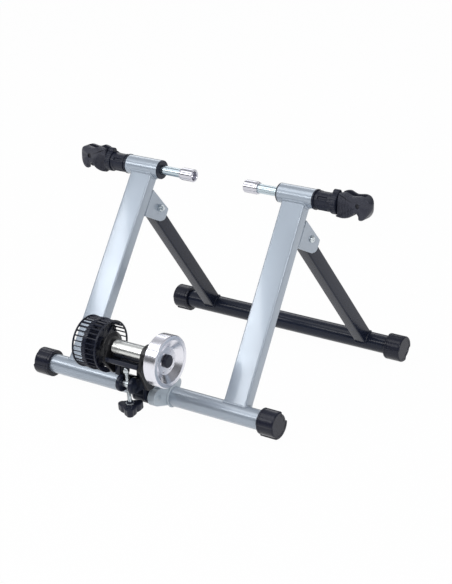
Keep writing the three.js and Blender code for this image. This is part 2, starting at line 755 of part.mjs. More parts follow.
// Screw axis: through the trunnion, leaning forwards
const screw_lean = THREE.MathUtils.degToRad(screw_lean_degrees);
const screw_up = new THREE.Vector3(0, -Math.sin(screw_lean), Math.cos(screw_lean));
const screw_side = screw_up.clone().cross(X);
const trunnion_middle = new THREE.Vector3(screw_x, trunnion_back, trunnion_height);

// A profile of [radius, height along the screw from the trunnion] turned about the screw axis
function turned_screw(profile, steps) {
  const points = profile.map(([radius, rise]) => new THREE.Vector2(radius, rise));
  const turned = new THREE.LatheGeometry(points, steps);
  return placed(turned, X, screw_up, screw_side.clone().negate(), trunnion_middle);
}
function bar_screw(radius, from, to, steps) {
  return turned_screw([[0, from], [radius, from], [radius, to], [0, to]], steps);
}

function trunnion_nut() {
  const [from, to] = [cheek_left_x, cheek_end_x];
  const half = trunnion_length / 2;
  const barrel = bar_x(trunnion_radius, screw_x - half, screw_x + half, ...in_trunnion, small_steps);
  const journal = bar_x(trunnion_journal_radius, from, to, ...in_trunnion, small_steps);
  const reach = trunnion_radius + overrun;
  return barrel.add(journal).subtract(bar_screw(screw_radius + fit_gap, -reach, reach, small_steps));
}
stand.add(part("trunnion_nut", trunnion_nut(), zinc));

// Knob, screw, jam nut and washer turn together
const dome_centre_rise = (web_bottom - dome_gap - dome_radius - trunnion_height) / Math.cos(screw_lean);
const screw_tip_rise = dome_centre_rise + dome_radius - cap_height;
const knob_bottom = -knob_top_drop - knob_thickness;
const knob_stack = -knob_top_drop + knob_boss_height;
const screw_bottom = knob_bottom + knob_thickness / 3;
const adjuster_screw = bar_screw(screw_radius, screw_bottom, screw_tip_rise, small_steps);
stand.add(part("adjuster_screw", adjuster_screw, zinc));

function adjuster_knob() {
  const reach = knob_reach - knob_lobe_radius;
  const resting_turn = THREE.MathUtils.degToRad(knob_turn_degrees) - Math.PI / 2;
  const lobes = [0, 1, 2].map((i) => {
    const angle = (2 * Math.PI * i) / 3 + resting_turn;
    const tip = [reach * Math.cos(angle), reach * Math.sin(angle), knob_lobe_radius];
    const outline = wrapped([[0, 0, knob_hub_radius], tip], small_steps);
    const flat = new THREE.ExtrudeGeometry(new THREE.Shape(outline),
      { depth: knob_thickness, bevelEnabled: false });
    const origin = trunnion_middle.clone().addScaledVector(screw_up, knob_bottom);
    return placed(flat, X, screw_side.clone().negate(), screw_up, origin);
  });
  const body = lobes[0].add(lobes[1]).add(lobes[2]);
  const boss = bar_screw(knob_boss_radius, -knob_top_drop - knob_boss_height, knob_stack, small_steps);
  const hole = bar_screw(screw_radius + fit_gap, screw_bottom - fit_gap, knob_stack + overrun, small_steps);
  return body.add(boss).subtract(hole);
}
stand.add(part("adjuster_knob", adjuster_knob(), black_plastic));

function screw_washer() {
  const from = knob_stack + fit_gap;
  const ring = bar_screw(washer_radius, from, from + washer_thickness, small_steps);
  return ring.subtract(bar_screw(screw_radius + fit_gap, from - overrun, from + overrun, small_steps));
}
stand.add(part("screw_washer", screw_washer(), zinc));

function jam_nut() {
  const from = knob_stack + 2 * fit_gap + washer_thickness;
  const body = bar_screw(jam_nut_radius, from, from + jam_nut_height, hex_steps);
  return body.subtract(bar_screw(screw_radius + fit_gap, from - overrun, from + 2 * overrun, small_steps));
}
stand.add(part("jam_nut", jam_nut(), black_paint));

// Domed thrust cap on the screw's tip: it slides up with the screw and doesn't turn
function thrust_cap() {
  const bore = screw_radius + fit_gap;
  const rim = screw_tip_rise - cap_skirt;
  const floor = screw_tip_rise + fit_gap;
  const dome = [1, 2 / 3, 1 / 3, 0].map((share) => {
    const angle = Math.asin(cap_radius / dome_radius) * share;
    return [dome_radius * Math.sin(angle), dome_centre_rise + dome_radius * Math.cos(angle)];
  });
  return turned_screw([[bore, rim], [cap_radius, rim], ...dome, [0, floor], [bore, floor], [bore, rim]],
    small_steps);
}
stand.add(part("thrust_cap", thrust_cap(), black_plastic));

// Carriage: knuckle on the pivot bolt, riser, web under the roller, and two arms with bearings
const in_axle = [axle_back, axle_height];
const web_left_x = left_arm_x + arm_thickness + fit_gap;
const web_right_x = right_arm_x - fit_gap;

function carriage_yoke() {
  const knuckle = bar_x(knuckle_radius, knuckle_left_x, knuckle_right_x, ...in_pivot, round_steps);
  const half = riser_thickness / 2;
  const stem = box([knuckle_left_x, pivot_back - riser_thickness, pivot_height],
    [knuckle_right_x, pivot_back, web_bottom + web_thickness]);
  const riser = box([web_left_x, pivot_back - riser_thickness, riser_low_height],
    [web_right_x, pivot_back, web_bottom + web_thickness]);
  const web = box([web_left_x, web_front_back, web_bottom], [web_right_x, pivot_back - half,
    web_bottom + web_thickness]);
  const lip = box([web_left_x, web_front_back, web_bottom], [web_right_x, web_front_back + web_thickness,
    web_bottom + web_lip_height]);
  const block = box([web_left_x, block_front_back, block_low_height],
    [web_left_x + block_width, pivot_back, web_bottom - block_width]);
  const whole = knuckle.add(stem).add(riser).add(web).add(lip).add(block);
  return whole.subtract(pivot_room(knuckle_left_x, knuckle_right_x));
}
stand.add(part("carriage_yoke", carriage_yoke(), black_paint));

const bearing_room = bearing_radius + fit_gap;

function yoke_arm(from, foot_height, cone_profile) {
  const to = from + arm_thickness;
  const foot_radius = arm_width / 3;
  const reach = arm_width / 2 - foot_radius;
  const lift = foot_height + foot_radius;
  const outline = wrapped([[...in_axle, arm_eye_radius],
    [arm_foot_back - reach, lift, foot_radius], [arm_foot_back + reach, lift, foot_radius],
    [web_front_back + web_thickness, web_bottom, web_thickness]]);
  const plate = plate_x(outline, from, to).add(turned_x(cone_profile, ...in_axle, round_steps));
  return plate.subtract(bar_x(bearing_room, from - fan_radius, to + fan_radius, ...in_axle, round_steps));
}
const left_arm_end = left_arm_x + arm_thickness;
const right_arm_end = right_arm_x + arm_thickness;
const cone_left = [[0, left_arm_x], [hub_cone_radius, left_arm_x],
  [hub_cone_radius, left_arm_x + arm_thickness / 3], [hub_cone_tip_radius, left_arm_end + fit_gap],
  [0, left_arm_end + fit_gap]];
const housing_end = right_arm_end + arm_thickness;
const cone_right = [[0, right_arm_x], [hub_cone_tip_radius, right_arm_x], [arm_eye_radius, right_arm_end],
  [arm_eye_radius, housing_end], [0, housing_end]];
stand.add(part("yoke_arm_left", yoke_arm(left_arm_x, left_arm_foot_height, cone_left), black_paint));
stand.add(part("yoke_arm_right", yoke_arm(right_arm_x, right_arm_foot_height, cone_right), black_paint));

function bearing(from) {
  return pipe_x(bearing_radius, axle_radius + fit_gap, from, from + bearing_width, ...in_axle, round_steps);
}
const bearing_inset = (arm_thickness - bearing_width) / 2;
stand.add(part("bearing_left", bearing(left_arm_x + bearing_inset), steel));
stand.add(part("bearing_right", bearing(right_arm_x + bearing_inset), steel));

// Rotor: roller, axle, fan and flywheel on one shaft
function roller() {
  const tube = pipe_x(roller_radius, roller_bore, roller_left_x, roller_right_x, ...in_axle, fine_steps);
  const plug = (from) => bar_x(roller_bore + fit_gap, from, from + bearing_width, ...in_axle, fine_steps);
  const inset = bearing_width / 2;
  const whole = tube.add(plug(roller_left_x + inset)).add(plug(roller_right_x - inset - bearing_width));
  return whole.subtract(bar_x(axle_radius + fit_gap, roller_left_x, roller_right_x, ...in_axle, small_steps));
}
stand.add(part("roller", roller(), machined_steel));

const axle_left_end = fan_plate_x - fan_hub_length / 2;
const axle_right_end = flywheel_outer_x - flywheel_dish_depth - fit_gap;
const roller_axle = bar_x(axle_radius, axle_left_end, axle_right_end, ...in_axle, small_steps);
stand.add(part("roller_axle", roller_axle, steel));

function fan_wheel() {
  const inner = fan_radius - fan_rim_depth;
  const rim = (from) => pipe_x(fan_radius, inner, from, from + fan_rim_width, ...in_axle, fan_blade_count);
  const plate_end = fan_plate_x + fan_plate_thickness;
  let wheel = bar_x(fan_radius, fan_plate_x, plate_end, ...in_axle, fan_blade_count);
  wheel = wheel.add(rim(fan_left_x)).add(rim(fan_right_x - fan_rim_width));
  const hub_from = fan_plate_x + (fan_plate_thickness - fan_hub_length) / 2;
  wheel = wheel.add(bar_x(fan_hub_radius, hub_from, hub_from + fan_hub_length, ...in_axle, small_steps));
  const blade_length = fan_right_x - fan_left_x - fan_rim_width;
  const blade = new THREE.BoxGeometry(blade_length, fan_blade_thickness, fan_blade_depth);
  const blade_radius = fan_radius - fan_blade_depth / 2 - fan_rim_depth / 2;
  blade.translate((fan_right_x + fan_left_x) / 2, 0, blade_radius);
  for (let i = 0; i < fan_blade_count; i += 1) {
    const turned = blade.clone().rotateX((2 * Math.PI * (i + 1 / 2)) / fan_blade_count);
    wheel = wheel.add(to_solid(turned.translate(0, axle_back, axle_height)));
  }
  const hole = bar_x(axle_radius + fit_gap, axle_left_end, fan_right_x, ...in_axle, small_steps);
  return wheel.subtract(hole);
}
stand.add(part("fan_wheel", fan_wheel(), black_plastic));

function flywheel() {
  const bevel = flywheel_bevel;
  const dish = flywheel_outer_x - flywheel_dish_depth;
  const bore = axle_radius + fit_gap;
  const web = dish - flywheel_back_web;
  const profile = [[bore, flywheel_inner_x], [flywheel_boss_radius, flywheel_inner_x],
    [flywheel_boss_radius, web], [flywheel_ring_radius, web], [flywheel_ring_radius, flywheel_inner_x],
    [flywheel_radius - bevel, flywheel_inner_x], [flywheel_radius, flywheel_inner_x + bevel],
    [flywheel_radius, flywheel_outer_x - bevel], [flywheel_radius - bevel, flywheel_outer_x],
    [flywheel_ring_radius, flywheel_outer_x], [flywheel_dish_radius, dish], [bore, dish],
    [bore, flywheel_inner_x]];
  let wheel = turned_x(profile, ...in_axle, fine_steps);
  for (let i = 0; i < flywheel_hole_count; i += 1) {
    const angle = (2 * Math.PI * i) / flywheel_hole_count;
    wheel = wheel.subtract(bar_x(flywheel_hole_radius, dish - flywheel_hole_depth, flywheel_outer_x + overrun,
      axle_back + flywheel_hole_circle * Math.cos(angle), axle_height + flywheel_hole_circle * Math.sin(angle),
      bolt_steps));
  }
  return wheel;
}
stand.add(part("flywheel", flywheel(), machined_steel));

const cap_face = flywheel_outer_x - flywheel_dish_depth + fit_gap;
const cap_crown = cap_face + flywheel_dish_depth / 2 + flywheel_cap_proud;
const flywheel_cap = turned_x([[0, cap_face], [flywheel_cap_radius, cap_face],
  [flywheel_cap_radius, cap_crown - flywheel_cap_proud], [flywheel_cap_radius - flywheel_cap_proud, cap_crown],
  [0, cap_crown]], ...in_axle, round_steps);
stand.add(part("flywheel_cap", flywheel_cap, black_plastic));

export default trainer;
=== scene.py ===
import bmesh
import bpy
import numpy as np
from mathutils import Matrix


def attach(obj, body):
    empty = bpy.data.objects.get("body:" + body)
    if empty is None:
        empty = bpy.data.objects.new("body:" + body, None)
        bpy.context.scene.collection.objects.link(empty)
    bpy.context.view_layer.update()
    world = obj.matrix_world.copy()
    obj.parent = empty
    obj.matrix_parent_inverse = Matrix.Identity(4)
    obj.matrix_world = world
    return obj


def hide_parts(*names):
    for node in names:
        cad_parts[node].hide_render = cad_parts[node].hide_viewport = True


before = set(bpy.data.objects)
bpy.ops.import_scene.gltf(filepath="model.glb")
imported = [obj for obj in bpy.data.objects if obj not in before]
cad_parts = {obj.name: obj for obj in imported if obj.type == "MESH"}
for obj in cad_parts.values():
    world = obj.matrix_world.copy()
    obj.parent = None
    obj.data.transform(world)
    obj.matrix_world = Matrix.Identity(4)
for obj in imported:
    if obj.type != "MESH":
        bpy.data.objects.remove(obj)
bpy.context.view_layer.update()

# The view. The stand is seen from its front right, a little above, from about 3.3 m away with a
# long lens, so the two frames look nearly parallel-sided.
view_azimuth, view_elevation = np.radians((34.932, 19.589))
view_distance = 3.31375
view_aim = np.array([0.026735, 0.013531, 0.174773])

back = np.array([np.sin(view_azimuth) * np.cos(view_elevation),
                 -np.cos(view_azimuth) * np.cos(view_elevation), np.sin(view_elevation)])
right = np.array([np.cos(view_azimuth), np.sin(view_azimuth), 0.0])
turn = np.stack([right, np.cross(back, right), back], axis=1)

lens = bpy.data.cameras.new("photo_lens")
lens.sensor_fit = "VERTICAL"
lens.sensor_height = 36.0
lens.lens = 104.25
lens.clip_end = 60.0
camera = bpy.data.objects.new("photo_camera", lens)
camera.matrix_world = Matrix.Translation(view_aim + view_distance * back) @ Matrix(turn).to_4x4()
bpy.context.collection.objects.link(camera)
bpy.context.scene.camera = camera
bpy.context.scene.view_settings.view_transform = "Standard"


# The studio: a wide white floor that keeps a faint shadow, and a room that is white to the eye and
# banded in reflections: dim just above the floor, bright at mid height. Four soft boxes light the
# stand from above, from the right, from behind and, weakly, from low in front.
def shader_tree(owner):
    """Empties a material's or a world's node tree and gives it back."""
    owner.use_nodes = True
    owner.node_tree.nodes.clear()
    return owner.node_tree


def add(tree, kind, inputs=(), **settings):
    """A new shader node. Settings are its properties; each input gets a value or another's socket."""
    made = tree.nodes.new("ShaderNode" + kind)
    for label, value in settings.items():
        setattr(made, label, value)
    for label, value in dict(inputs).items():
        if isinstance(value, bpy.types.NodeSocket):
            tree.links.new(value, made.inputs[label])
        else:
            made.inputs[label].default_value = value
    return made


def reckoned(tree, operation, *values):
    """A Math node's result; each value is a number or a socket."""
    return add(tree, "Math", dict(enumerate(values)), operation=operation).outputs[0]


def seen_as(tree, seen, lit, out_kind, rays, share=1.0):
    """These kinds of ray get the seen shader by that share, all other rays get the lit one."""
    path = add(tree, "LightPath").outputs
    part = path[rays[0]]
    for ray in rays[1:]:
        part = reckoned(tree, "MAXIMUM", part, path[ray])
    part = reckoned(tree, "MULTIPLY", part, share)
    mix = add(tree, "MixShader", {0: part, 1: lit.outputs[0], 2: seen.outputs[0]})
    add(tree, out_kind, {"Surface": mix.outputs[0]})


floor_reach = 14.0
floor_mesh = bpy.data.meshes.new("studio_floor")
floor_mesh.from_pydata([(floor_reach * x, floor_reach * y, 0)
                        for x, y in ((-1, -1), (1, -1), (1, 1), (-1, 1))], [], [(0, 1, 2, 3)])
floor = bpy.data.objects.new("studio_floor", floor_mesh)
floor_mesh.materials.append(bpy.data.materials.new("studio_floor"))
floor_tree = shader_tree(floor_mesh.materials[0])
seen_as(floor_tree, add(floor_tree, "Emission", {"Color": (1, 1, 1, 1)}),
        add(floor_tree, "BsdfDiffuse", {"Color": (0.84, 0.84, 0.87, 1)}), "OutputMaterial",
        ("Is Camera Ray", "Is Glossy Ray", "Is Transmission Ray"), share=0.98)
bpy.context.collection.objects.link(floor)

world = bpy.data.worlds.new("studio_room")
bpy.context.scene.world = world
room = shader_tree(world)
room_height = add(room, "SeparateXYZ", {0: add(room, "TexCoord").outputs["Generated"]})
room_ramp = add(room, "ValToRGB", {0: room_height.outputs["Z"]})
room_stops = room_ramp.color_ramp.elements
room_stops[0].color = (0.7, 0.72, 0.76, 1)
room_stops[1].color = (0.62, 0.62, 0.68, 1)
for spot, grey in ((0.03, 0.1), (0.3, 0.16), (0.42, 0.5), (0.56, 1.0), (0.72, 1.0), (0.82, 0.6)):
    room_stops.new(spot).color = (grey, grey * 1.01, grey * 1.04, 1)
seen_as(room, add(room, "Background", {"Color": (1, 1, 1, 1)}),
        add(room, "Background", {"Color": room_ramp.outputs["Color"], "Strength": 0.68}),
        "OutputWorld", ("Is Camera Ray",))


def soft_box(name, place, aim, size, watts):
    """A rectangular lamp at place that faces aim: its local -Z is the direction to aim."""
    lamp = bpy.data.lights.new(name, "AREA")
    lamp.shape = "RECTANGLE"
    lamp.size, lamp.size_y = size
    lamp.energy = watts
    away = np.array(place, float) - np.array(aim, float)
    away /= np.linalg.norm(away)
    side = np.cross((0, 0, 1), away)
    side /= np.linalg.norm(side)
    holder = bpy.data.objects.new(name, lamp)
    basis = np.stack([side, np.cross(away, side), away], axis=1)
    holder.matrix_world = Matrix.Translation(place) @ Matrix(basis).to_4x4()
    bpy.context.collection.objects.link(holder)


soft_box("soft_box_over", (-0.7, -1.2, 2.6), (0, 0, 0.2), (2.2, 1.4), 19)
soft_box("soft_box_front", (2.5, -1.3, 1.7), (0, 0, 0.2), (1.2, 0.9), 20)
soft_box("soft_box_back", (-1.8, 2.2, 1.9), (0, 0, 0.2), (1.6, 1.2), 9)
soft_box("soft_box_low", (-0.8, -1.17, 0.93), (0.0, -0.1, 0.17), (1.1, 0.26), 4.5)

# The silver base tube and the two clamp tubes: drawn round steel tube, 38 mm outside with a
# 1.6 mm wall, cut square and painted after welding. Places are in millimetres from the front
# tube's axis, with the height from the floor.
footprint_middle = 184.2
base_height, base_half_length = 27.0, 279.0
tube_radius, tube_wall = 19.0, 1.6
clamp_back, clamp_height = 216.0, 392.0
clamp_tube_start, clamp_tube_end = 142.0, 219.0
sides = (("left", "l", -1), ("right", "r", 1))


def surface(grid, closed=False, capped=False):
    """The points of a grid and its four-cornered faces. Each row runs round and closes on itself.
    The last row joins the first where it is closed, or each gets a face where it is capped."""
    rows, columns = grid.shape[:2]
    r, c = np.meshgrid(np.arange(rows - (not closed)), np.arange(columns), indexing="ij")
    below, beside = (r + 1) % rows * columns, (c + 1) % columns
    faces = np.stack([r * columns + c, r * columns + beside, below + beside, below + c], axis=-1)
    faces = faces.reshape(-1, 4).tolist()
    if capped and not closed:
        faces += [list(range(columns))[::-1], list(range((rows - 1) * columns, rows * columns))]
    return grid.reshape(-1, 3), faces


def eased(corners, reach, steps=5, closed=False):
    """Rounds each corner C of a profile: the curve (1-t)^2 A + 2t(1-t) C + t^2 B runs between the
    points A and B that lie reach away from C on its two edges, or half an edge where that is less.
    One more point just past A and B keeps the flat parts flat."""
    corners = np.asarray(corners, float)
    reach = np.broadcast_to(np.asarray(reach, float), (len(corners),))
    before, after = np.roll(corners, 1, axis=0), np.roll(corners, -1, axis=0)

    def toward(other, more=0.0):
        edge = other - corners
        length = np.linalg.norm(edge, axis=1, keepdims=True)
        share = np.minimum((reach[:, None] + more) / np.maximum(length, 1e-9), 0.5)
        return (corners + edge * share)[:, None]

    t = np.linspace(0, 1, steps + 1)[None, :, None]
    curve = ((1 - t) ** 2 * toward(before) + 2 * t * (1 - t) * corners[:, None]
             + t ** 2 * toward(after))
    curve = np.concatenate([toward(before, 0.25), curve, toward(after, 0.25)], axis=1)
    if closed:
        return curve.reshape(-1, 2)
    return np.concatenate([corners[:1], curve[1:-1].reshape(-1, 2), corners[-1:]])


def angles(steps):
    """Evenly spaced angles over one full turn."""
    return np.linspace(0, 2 * np.pi, steps, endpoint=False)


def quarter(steps):
    """Evenly spaced angles from 0 to a quarter turn."""
    return np.linspace(0, np.pi / 2, steps)


def unit(vectors):
    """Vectors scaled to length one along their last direction."""
    return vectors / np.maximum(np.linalg.norm(vectors, axis=-1, keepdims=True), 1e-9)


def turned(rows, centre, along=(1, 0, 0), steps=96, closed=False):
    """Rows of (radius, distance) carried round the line through centre: every point is centre +
    distance * along + radius * (cos angle * across + sin angle * up). A row's radius may be an
    array with one value for each angle."""
    along = unit(np.asarray(along, float))
    across = unit(np.cross((0, 0, 1), along) if abs(along[2]) < 0.9 else np.cross((1, 0, 0), along))
    angle = angles(steps)[:, None]
    spokes = np.cos(angle) * across + np.sin(angle) * np.cross(along, across)
    return surface(np.stack([
        np.asarray(centre, float) + place * along + np.broadcast_to(radius, steps)[:, None] * spokes
        for radius, place in rows]), closed)


def boxed(a, b, start, end):
    """The four corners of a rectangle from a to b and from start to end."""
    return [[a, start], [b, start], [b, end], [a, end]]


def ring(inner, outer, start, end, ease, centre, along=(1, 0, 0), steps=96, ease_steps=3):
    """A rectangle between two radii and two distances, its corners eased, turned round a line."""
    profile = eased(boxed(inner, outer, start, end), ease, ease_steps, True)
    return turned(profile, centre, along, steps, closed=True)


def make_piece(name, surfaces, finish, body, node, crease=32):
    """Joins surfaces in mm into one object in metres, closes its seams and poles by merging points
    that meet, faces it outwards, and says what it rides on and replaces. A finish is a material
    with its slot; the slot is not used."""
    faces, count = [], 0
    for cloud, loops in surfaces:
        faces += [[i + count for i in loop] for loop in loops]
        count += len(cloud)
    place = (np.concatenate([cloud for cloud, _ in surfaces]) - (0, footprint_middle, 0)) * 0.001
    mesh = bpy.data.meshes.new(name)
    mesh.from_pydata(place.tolist(), [], faces)
    shape = bmesh.new()
    shape.from_mesh(mesh)
    bmesh.ops.remove_doubles(shape, verts=shape.verts, dist=3e-6)
    bmesh.ops.dissolve_degenerate(shape, dist=1e-6, edges=shape.edges)
    bmesh.ops.recalc_face_normals(shape, faces=shape.faces)
    shape.to_mesh(mesh)
    shape.free()
    mesh.shade_smooth()
    mesh.set_sharp_from_angle(angle=np.radians(crease))
    mesh.materials.append(finish[0])
    thing = bpy.data.objects.new(name, mesh)
    bpy.context.collection.objects.link(thing)
    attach(thing, body)
    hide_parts(node)


def make_pairs(*pieces):
    """Pieces of the right side, and their mirror images on the left; * in a body stands for l or r."""
    for side_name, letter, side in sides:
        for name, surfaces, finish, body, node in pieces:
            mirrored = [(points * (side, 1, 1), faces) for points, faces in surfaces]
            make_piece(f"{name}_{side_name}", mirrored, finish, body.replace("*", letter),
                       f"{node}_{side_name}")


def effect(name, numbers):
    """A shader node group whose named inputs are numbers: the group, its inputs and the place."""
    group = bpy.data.node_groups.new(name, "ShaderNodeTree")
    for label, value in numbers.items():
        socket = group.interface.new_socket(label, in_out="INPUT", socket_type="NodeSocketFloat")
        socket.default_value = value
    return group, group.nodes.new("NodeGroupInput").outputs, add(group, "TexCoord").outputs["Object"]


def put_out(group, values):
    """Names a group's outputs and joins each to the socket that makes it."""
    for label in values:
        group.interface.new_socket(label, in_out="OUTPUT", socket_type="NodeSocketFloat")
    made = group.nodes.new("NodeGroupOutput")
    for label, socket in values.items():
        group.links.new(socket, made.inputs[label])
    return group


def noise(tree, place, scale, detail=2.0):
    """A noise texture's value at a place; scale is a number or a socket."""
    return add(tree, "TexNoise", {"Vector": place, "Scale": scale, "Detail": detail}).outputs["Fac"]


def spread(tree, value, low, high, to_low, to_high):
    """Maps a value from low..high to to_low..to_high; the last two are numbers or sockets."""
    return add(tree, "MapRange", {"Value": value, "From Min": low, "From Max": high, "To Min": to_low,
                                  "To Max": to_high}).outputs["Result"]


def paint_skin():
    """Sprayed paint: fine orange peel in the height, soft clouds in the roughness, wider ones in the
    tone, and dust that lies on what faces up."""
    group, given, place = effect("paint_skin", {"Peel scale": 900.0, "Cloud scale": 14.0,
                                                "Rough low": 0.3, "Rough high": 0.4, "Dust share": 0.1})
    facing = add(group, "SeparateXYZ", {0: add(group, "NewGeometry").outputs["Normal"]}).outputs["Z"]
    lying = spread(group, facing, 0.5, 1.0, 0.0, 1.0)
    dust = reckoned(group, "MULTIPLY", lying, noise(group, place, 60, 6))
    cloud = noise(group, place, given["Cloud scale"], 4)
    return put_out(group, {
        "Tone": noise(group, place, 9, 5),
        "Roughness": spread(group, cloud, 0.35, 0.65, given["Rough low"], given["Rough high"]),
        "Height": noise(group, place, given["Peel scale"], 2),
        "Dust": reckoned(group, "MULTIPLY", dust, given["Dust share"])})


paint_skin_group = paint_skin()


def coated(name, skin_group, colour, shade, bump, depth, numbers=(), dust=None, shader=(), slot=None):
    """A material from a skin group, with its slot: the tone mixes two near colours, dust of its own
    colour may lie over both, and the height is a bump. Shader values go to the Principled BSDF."""
    material = bpy.data.materials.new(name)
    tree = shader_tree(material)
    skin = add(tree, "Group", node_tree=skin_group)
    for label, value in dict(numbers).items():
        skin.inputs[label].default_value = value
    tint = add(tree, "Mix", {0: skin.outputs["Tone"], 6: (*colour, 1), 7: (*shade, 1)},
               data_type="RGBA").outputs[2]
    if dust:
        tint = add(tree, "Mix", {0: skin.outputs["Dust"], 6: tint, 7: (*dust, 1)},
                   data_type="RGBA").outputs[2]
    height = add(tree, "Bump", {"Strength": bump, "Distance": depth, "Height": skin.outputs["Height"]})
    finish = add(tree, "BsdfPrincipled", {"Base Color": tint, "Roughness": skin.outputs["Roughness"],
                                          "Normal": height.outputs["Normal"], **dict(shader)})
    add(tree, "OutputMaterial", {"Surface": finish.outputs[0]})
    return material, slot or name


def painted(name, colour, shade, dust, peel=0.06, **rest):
    """Sprayed paint, which has the paint skin's bump depth."""
    return coated(name, paint_skin_group, colour, shade, peel, 0.0004, dust=dust, **rest)


silver_paint = painted("silver_paint", (0.4, 0.46, 0.53), (0.37, 0.43, 0.5), (0.56, 0.58, 0.62),
                       numbers={"Rough low": 0.28, "Rough high": 0.36},
                       shader={"Metallic": 0.35, "Coat Weight": 0.7, "Coat Roughness": 0.09})


def open_tube(start, end, back, height):
    """A round tube with a wall and softened rims, along X from start to end."""
    return ring(tube_radius - tube_wall, tube_radius, start, end, 0.5, (0, back, height))


make_piece("silver_base_tube", [open_tube(-base_half_length, base_half_length, 0, base_height)],
           silver_paint, "front_frame", "front_base_tube")
make_pairs(("clamp_housing_tube", [open_tube(clamp_tube_start, clamp_tube_end, clamp_back, clamp_height)],
            silver_paint, "front_frame", "clamp_tube"))

# The front legs: 50 x 25 mm rectangular steel tube, coped at both ends to fit round the base
# tube and the clamp tube, and welded all round with a small rippled bead that is painted over.
leg_foot = np.array([186.0, 0.0, base_height])
leg_top = np.array([179.0, clamp_back, clamp_height])
leg_size, leg_corner, leg_wall = (50.0, 25.0), 3.5, 1.5
buried = tube_radius - 0.6


def box_section(width, depth, corner, steps=6):
    """A rectangle with quarter-circle corners, point by point anticlockwise."""
    angle = np.arange(4)[:, None] * np.pi / 2 + quarter(steps)
    centres = np.array([[1, 1], [-1, 1], [-1, -1], [1, -1]]) * (width / 2 - corner, depth / 2 - corner)
    arcs = np.stack([np.cos(angle), np.sin(angle)], axis=-1) * corner + centres[:, None]
    return arcs.reshape(-1, 2)


def line_frame(foot, top):
    """The line's direction, and a function that lays flat points (across, out) square to it from
    its foot; across is level with X."""
    up = unit(top - foot)
    across = unit(np.array([1.0, 0, 0]) - up[0] * up)
    return up, lambda flat: foot + flat[..., :1] * across + flat[..., 1:] * np.cross(up, across)


def reach_of_tube(points, up, tube_at, radius, upper):
    """How far along up each point meets a tube along X: the root of |p + t up - axis| = radius."""
    p = points[:, 1:] - tube_at
    a = up[1:] @ up[1:]
    b = p @ up[1:]
    root = np.sqrt(np.maximum(b * b - a * ((p * p).sum(axis=1) - radius ** 2), 0))
    return (-b + (root if upper else -root)) / a


def hollow_leg(foot, top, size, corner, wall, low_tube, high_tube, rows=14):
    """A box section carried from one tube to the other, outside up and inside down again."""
    up, laid = line_frame(foot, top)
    rings = []
    for inset in (0, wall):
        start = laid(box_section(size[0] - 2 * inset, size[1] - 2 * inset, corner - inset * 0.9))
        low = reach_of_tube(start, up, low_tube, buried, True)
        high = reach_of_tube(start, up, high_tube, buried, False)
        t = low[None] + np.linspace(0, 1, rows)[:, None] * (high - low)
        wall_side = start[None] + t[..., None] * up
        rings.append(wall_side[::-1] if inset else wall_side)
    return surface(np.concatenate(rings), closed=True)


def rod_along(path, tangent, side, radius, closed=False, steps=10):
    """A round rod along a path: each ring is radius * (cos a * side + sin a * side x tangent)."""
    rise = np.cross(side, tangent)
    angle = angles(steps)[None, :, None]
    spokes = np.cos(angle) * side[:, None] + np.sin(angle) * rise[:, None]
    points = path[:, None] + np.broadcast_to(radius, len(path))[:, None, None] * spokes
    return surface(points, closed, capped=True)


def evenly_along(path, count, endpoint):
    """Points at even distances along a path, and those distances."""
    run = np.concatenate([[0], np.cumsum(np.linalg.norm(np.diff(path, axis=0), axis=1))])
    at = np.linspace(0, run[-1], count(run[-1]), endpoint=endpoint)
    return np.stack([np.interp(at, run, line) for line in path.T], axis=1), at


def weld_bead(foot, top, size, corner, tube_at, upper, bead=2.1, ripple=3.2):
    """The seam between a leg and a tube: a round bead along the line where they meet, its radius
    swelling by a tenth with every ripple of the torch."""
    up, laid = line_frame(foot, top)
    section = box_section(size[0] + 1, size[1] + 1, corner, steps=12)
    even, at = evenly_along(np.concatenate([section, section[:1]]), lambda run: int(run / 0.8), False)
    path = laid(even)
    path = path + reach_of_tube(path, up, tube_at, tube_radius + 0.5, upper)[:, None] * up
    tangent = unit(np.roll(path, -1, axis=0) - np.roll(path, 1, axis=0))
    swell = bead * (1 + 0.1 * np.sin(2 * np.pi * at / ripple + 0.6 * np.sin(at * 0.31)))
    return rod_along(path, tangent, unit(np.cross(tangent, up)), swell, closed=True)


base_tube_at, clamp_tube_at = (0, base_height), (clamp_back, clamp_height)
for side_name, _, side in sides:
    ends = leg_foot * (side, 1, 1), leg_top * (side, 1, 1)
    leg = hollow_leg(*ends, leg_size, leg_corner, leg_wall, base_tube_at, clamp_tube_at)
    beads = [weld_bead(*ends, leg_size, leg_corner, base_tube_at, True),
             weld_bead(*ends, leg_size, leg_corner, clamp_tube_at, False)]
    make_piece(f"silver_leg_{side_name}", [leg, *beads], silver_paint, "front_frame",
               f"front_leg_{side_name}")

# The hinge brackets: 3 mm steel plate folded to a channel, welded to the back of each front leg
# below the clamp. A bolt with a small round head passes through both cheeks and the rear leg's
# head, with a nut inside the stand.
hinge_x, hinge_back, hinge_height = 180.0, 224.98, 309.0
bracket_plate = 3.0
bracket_top_rise, bracket_root_drop = 26.5, 29.0
bracket_tip_rise, bracket_tip_reach = 8.0, 31.5
bracket_heel_drop, bracket_heel_reach = 24.0, 14.0
bracket_corner = 11.0
hinge_bolt_radius, hinge_bolt_length = 4.0, 62.0
leg_slope = np.arctan2(clamp_back, clamp_height - base_height)
leg_rise_line = np.array([np.sin(leg_slope), np.cos(leg_slope)])
leg_rear_line = np.array([np.cos(leg_slope), -np.sin(leg_slope)])
hinge_standoff = (np.array([hinge_back, hinge_height - base_height]) @ leg_rear_line
                  - leg_size[1] / 2 - 0.3)


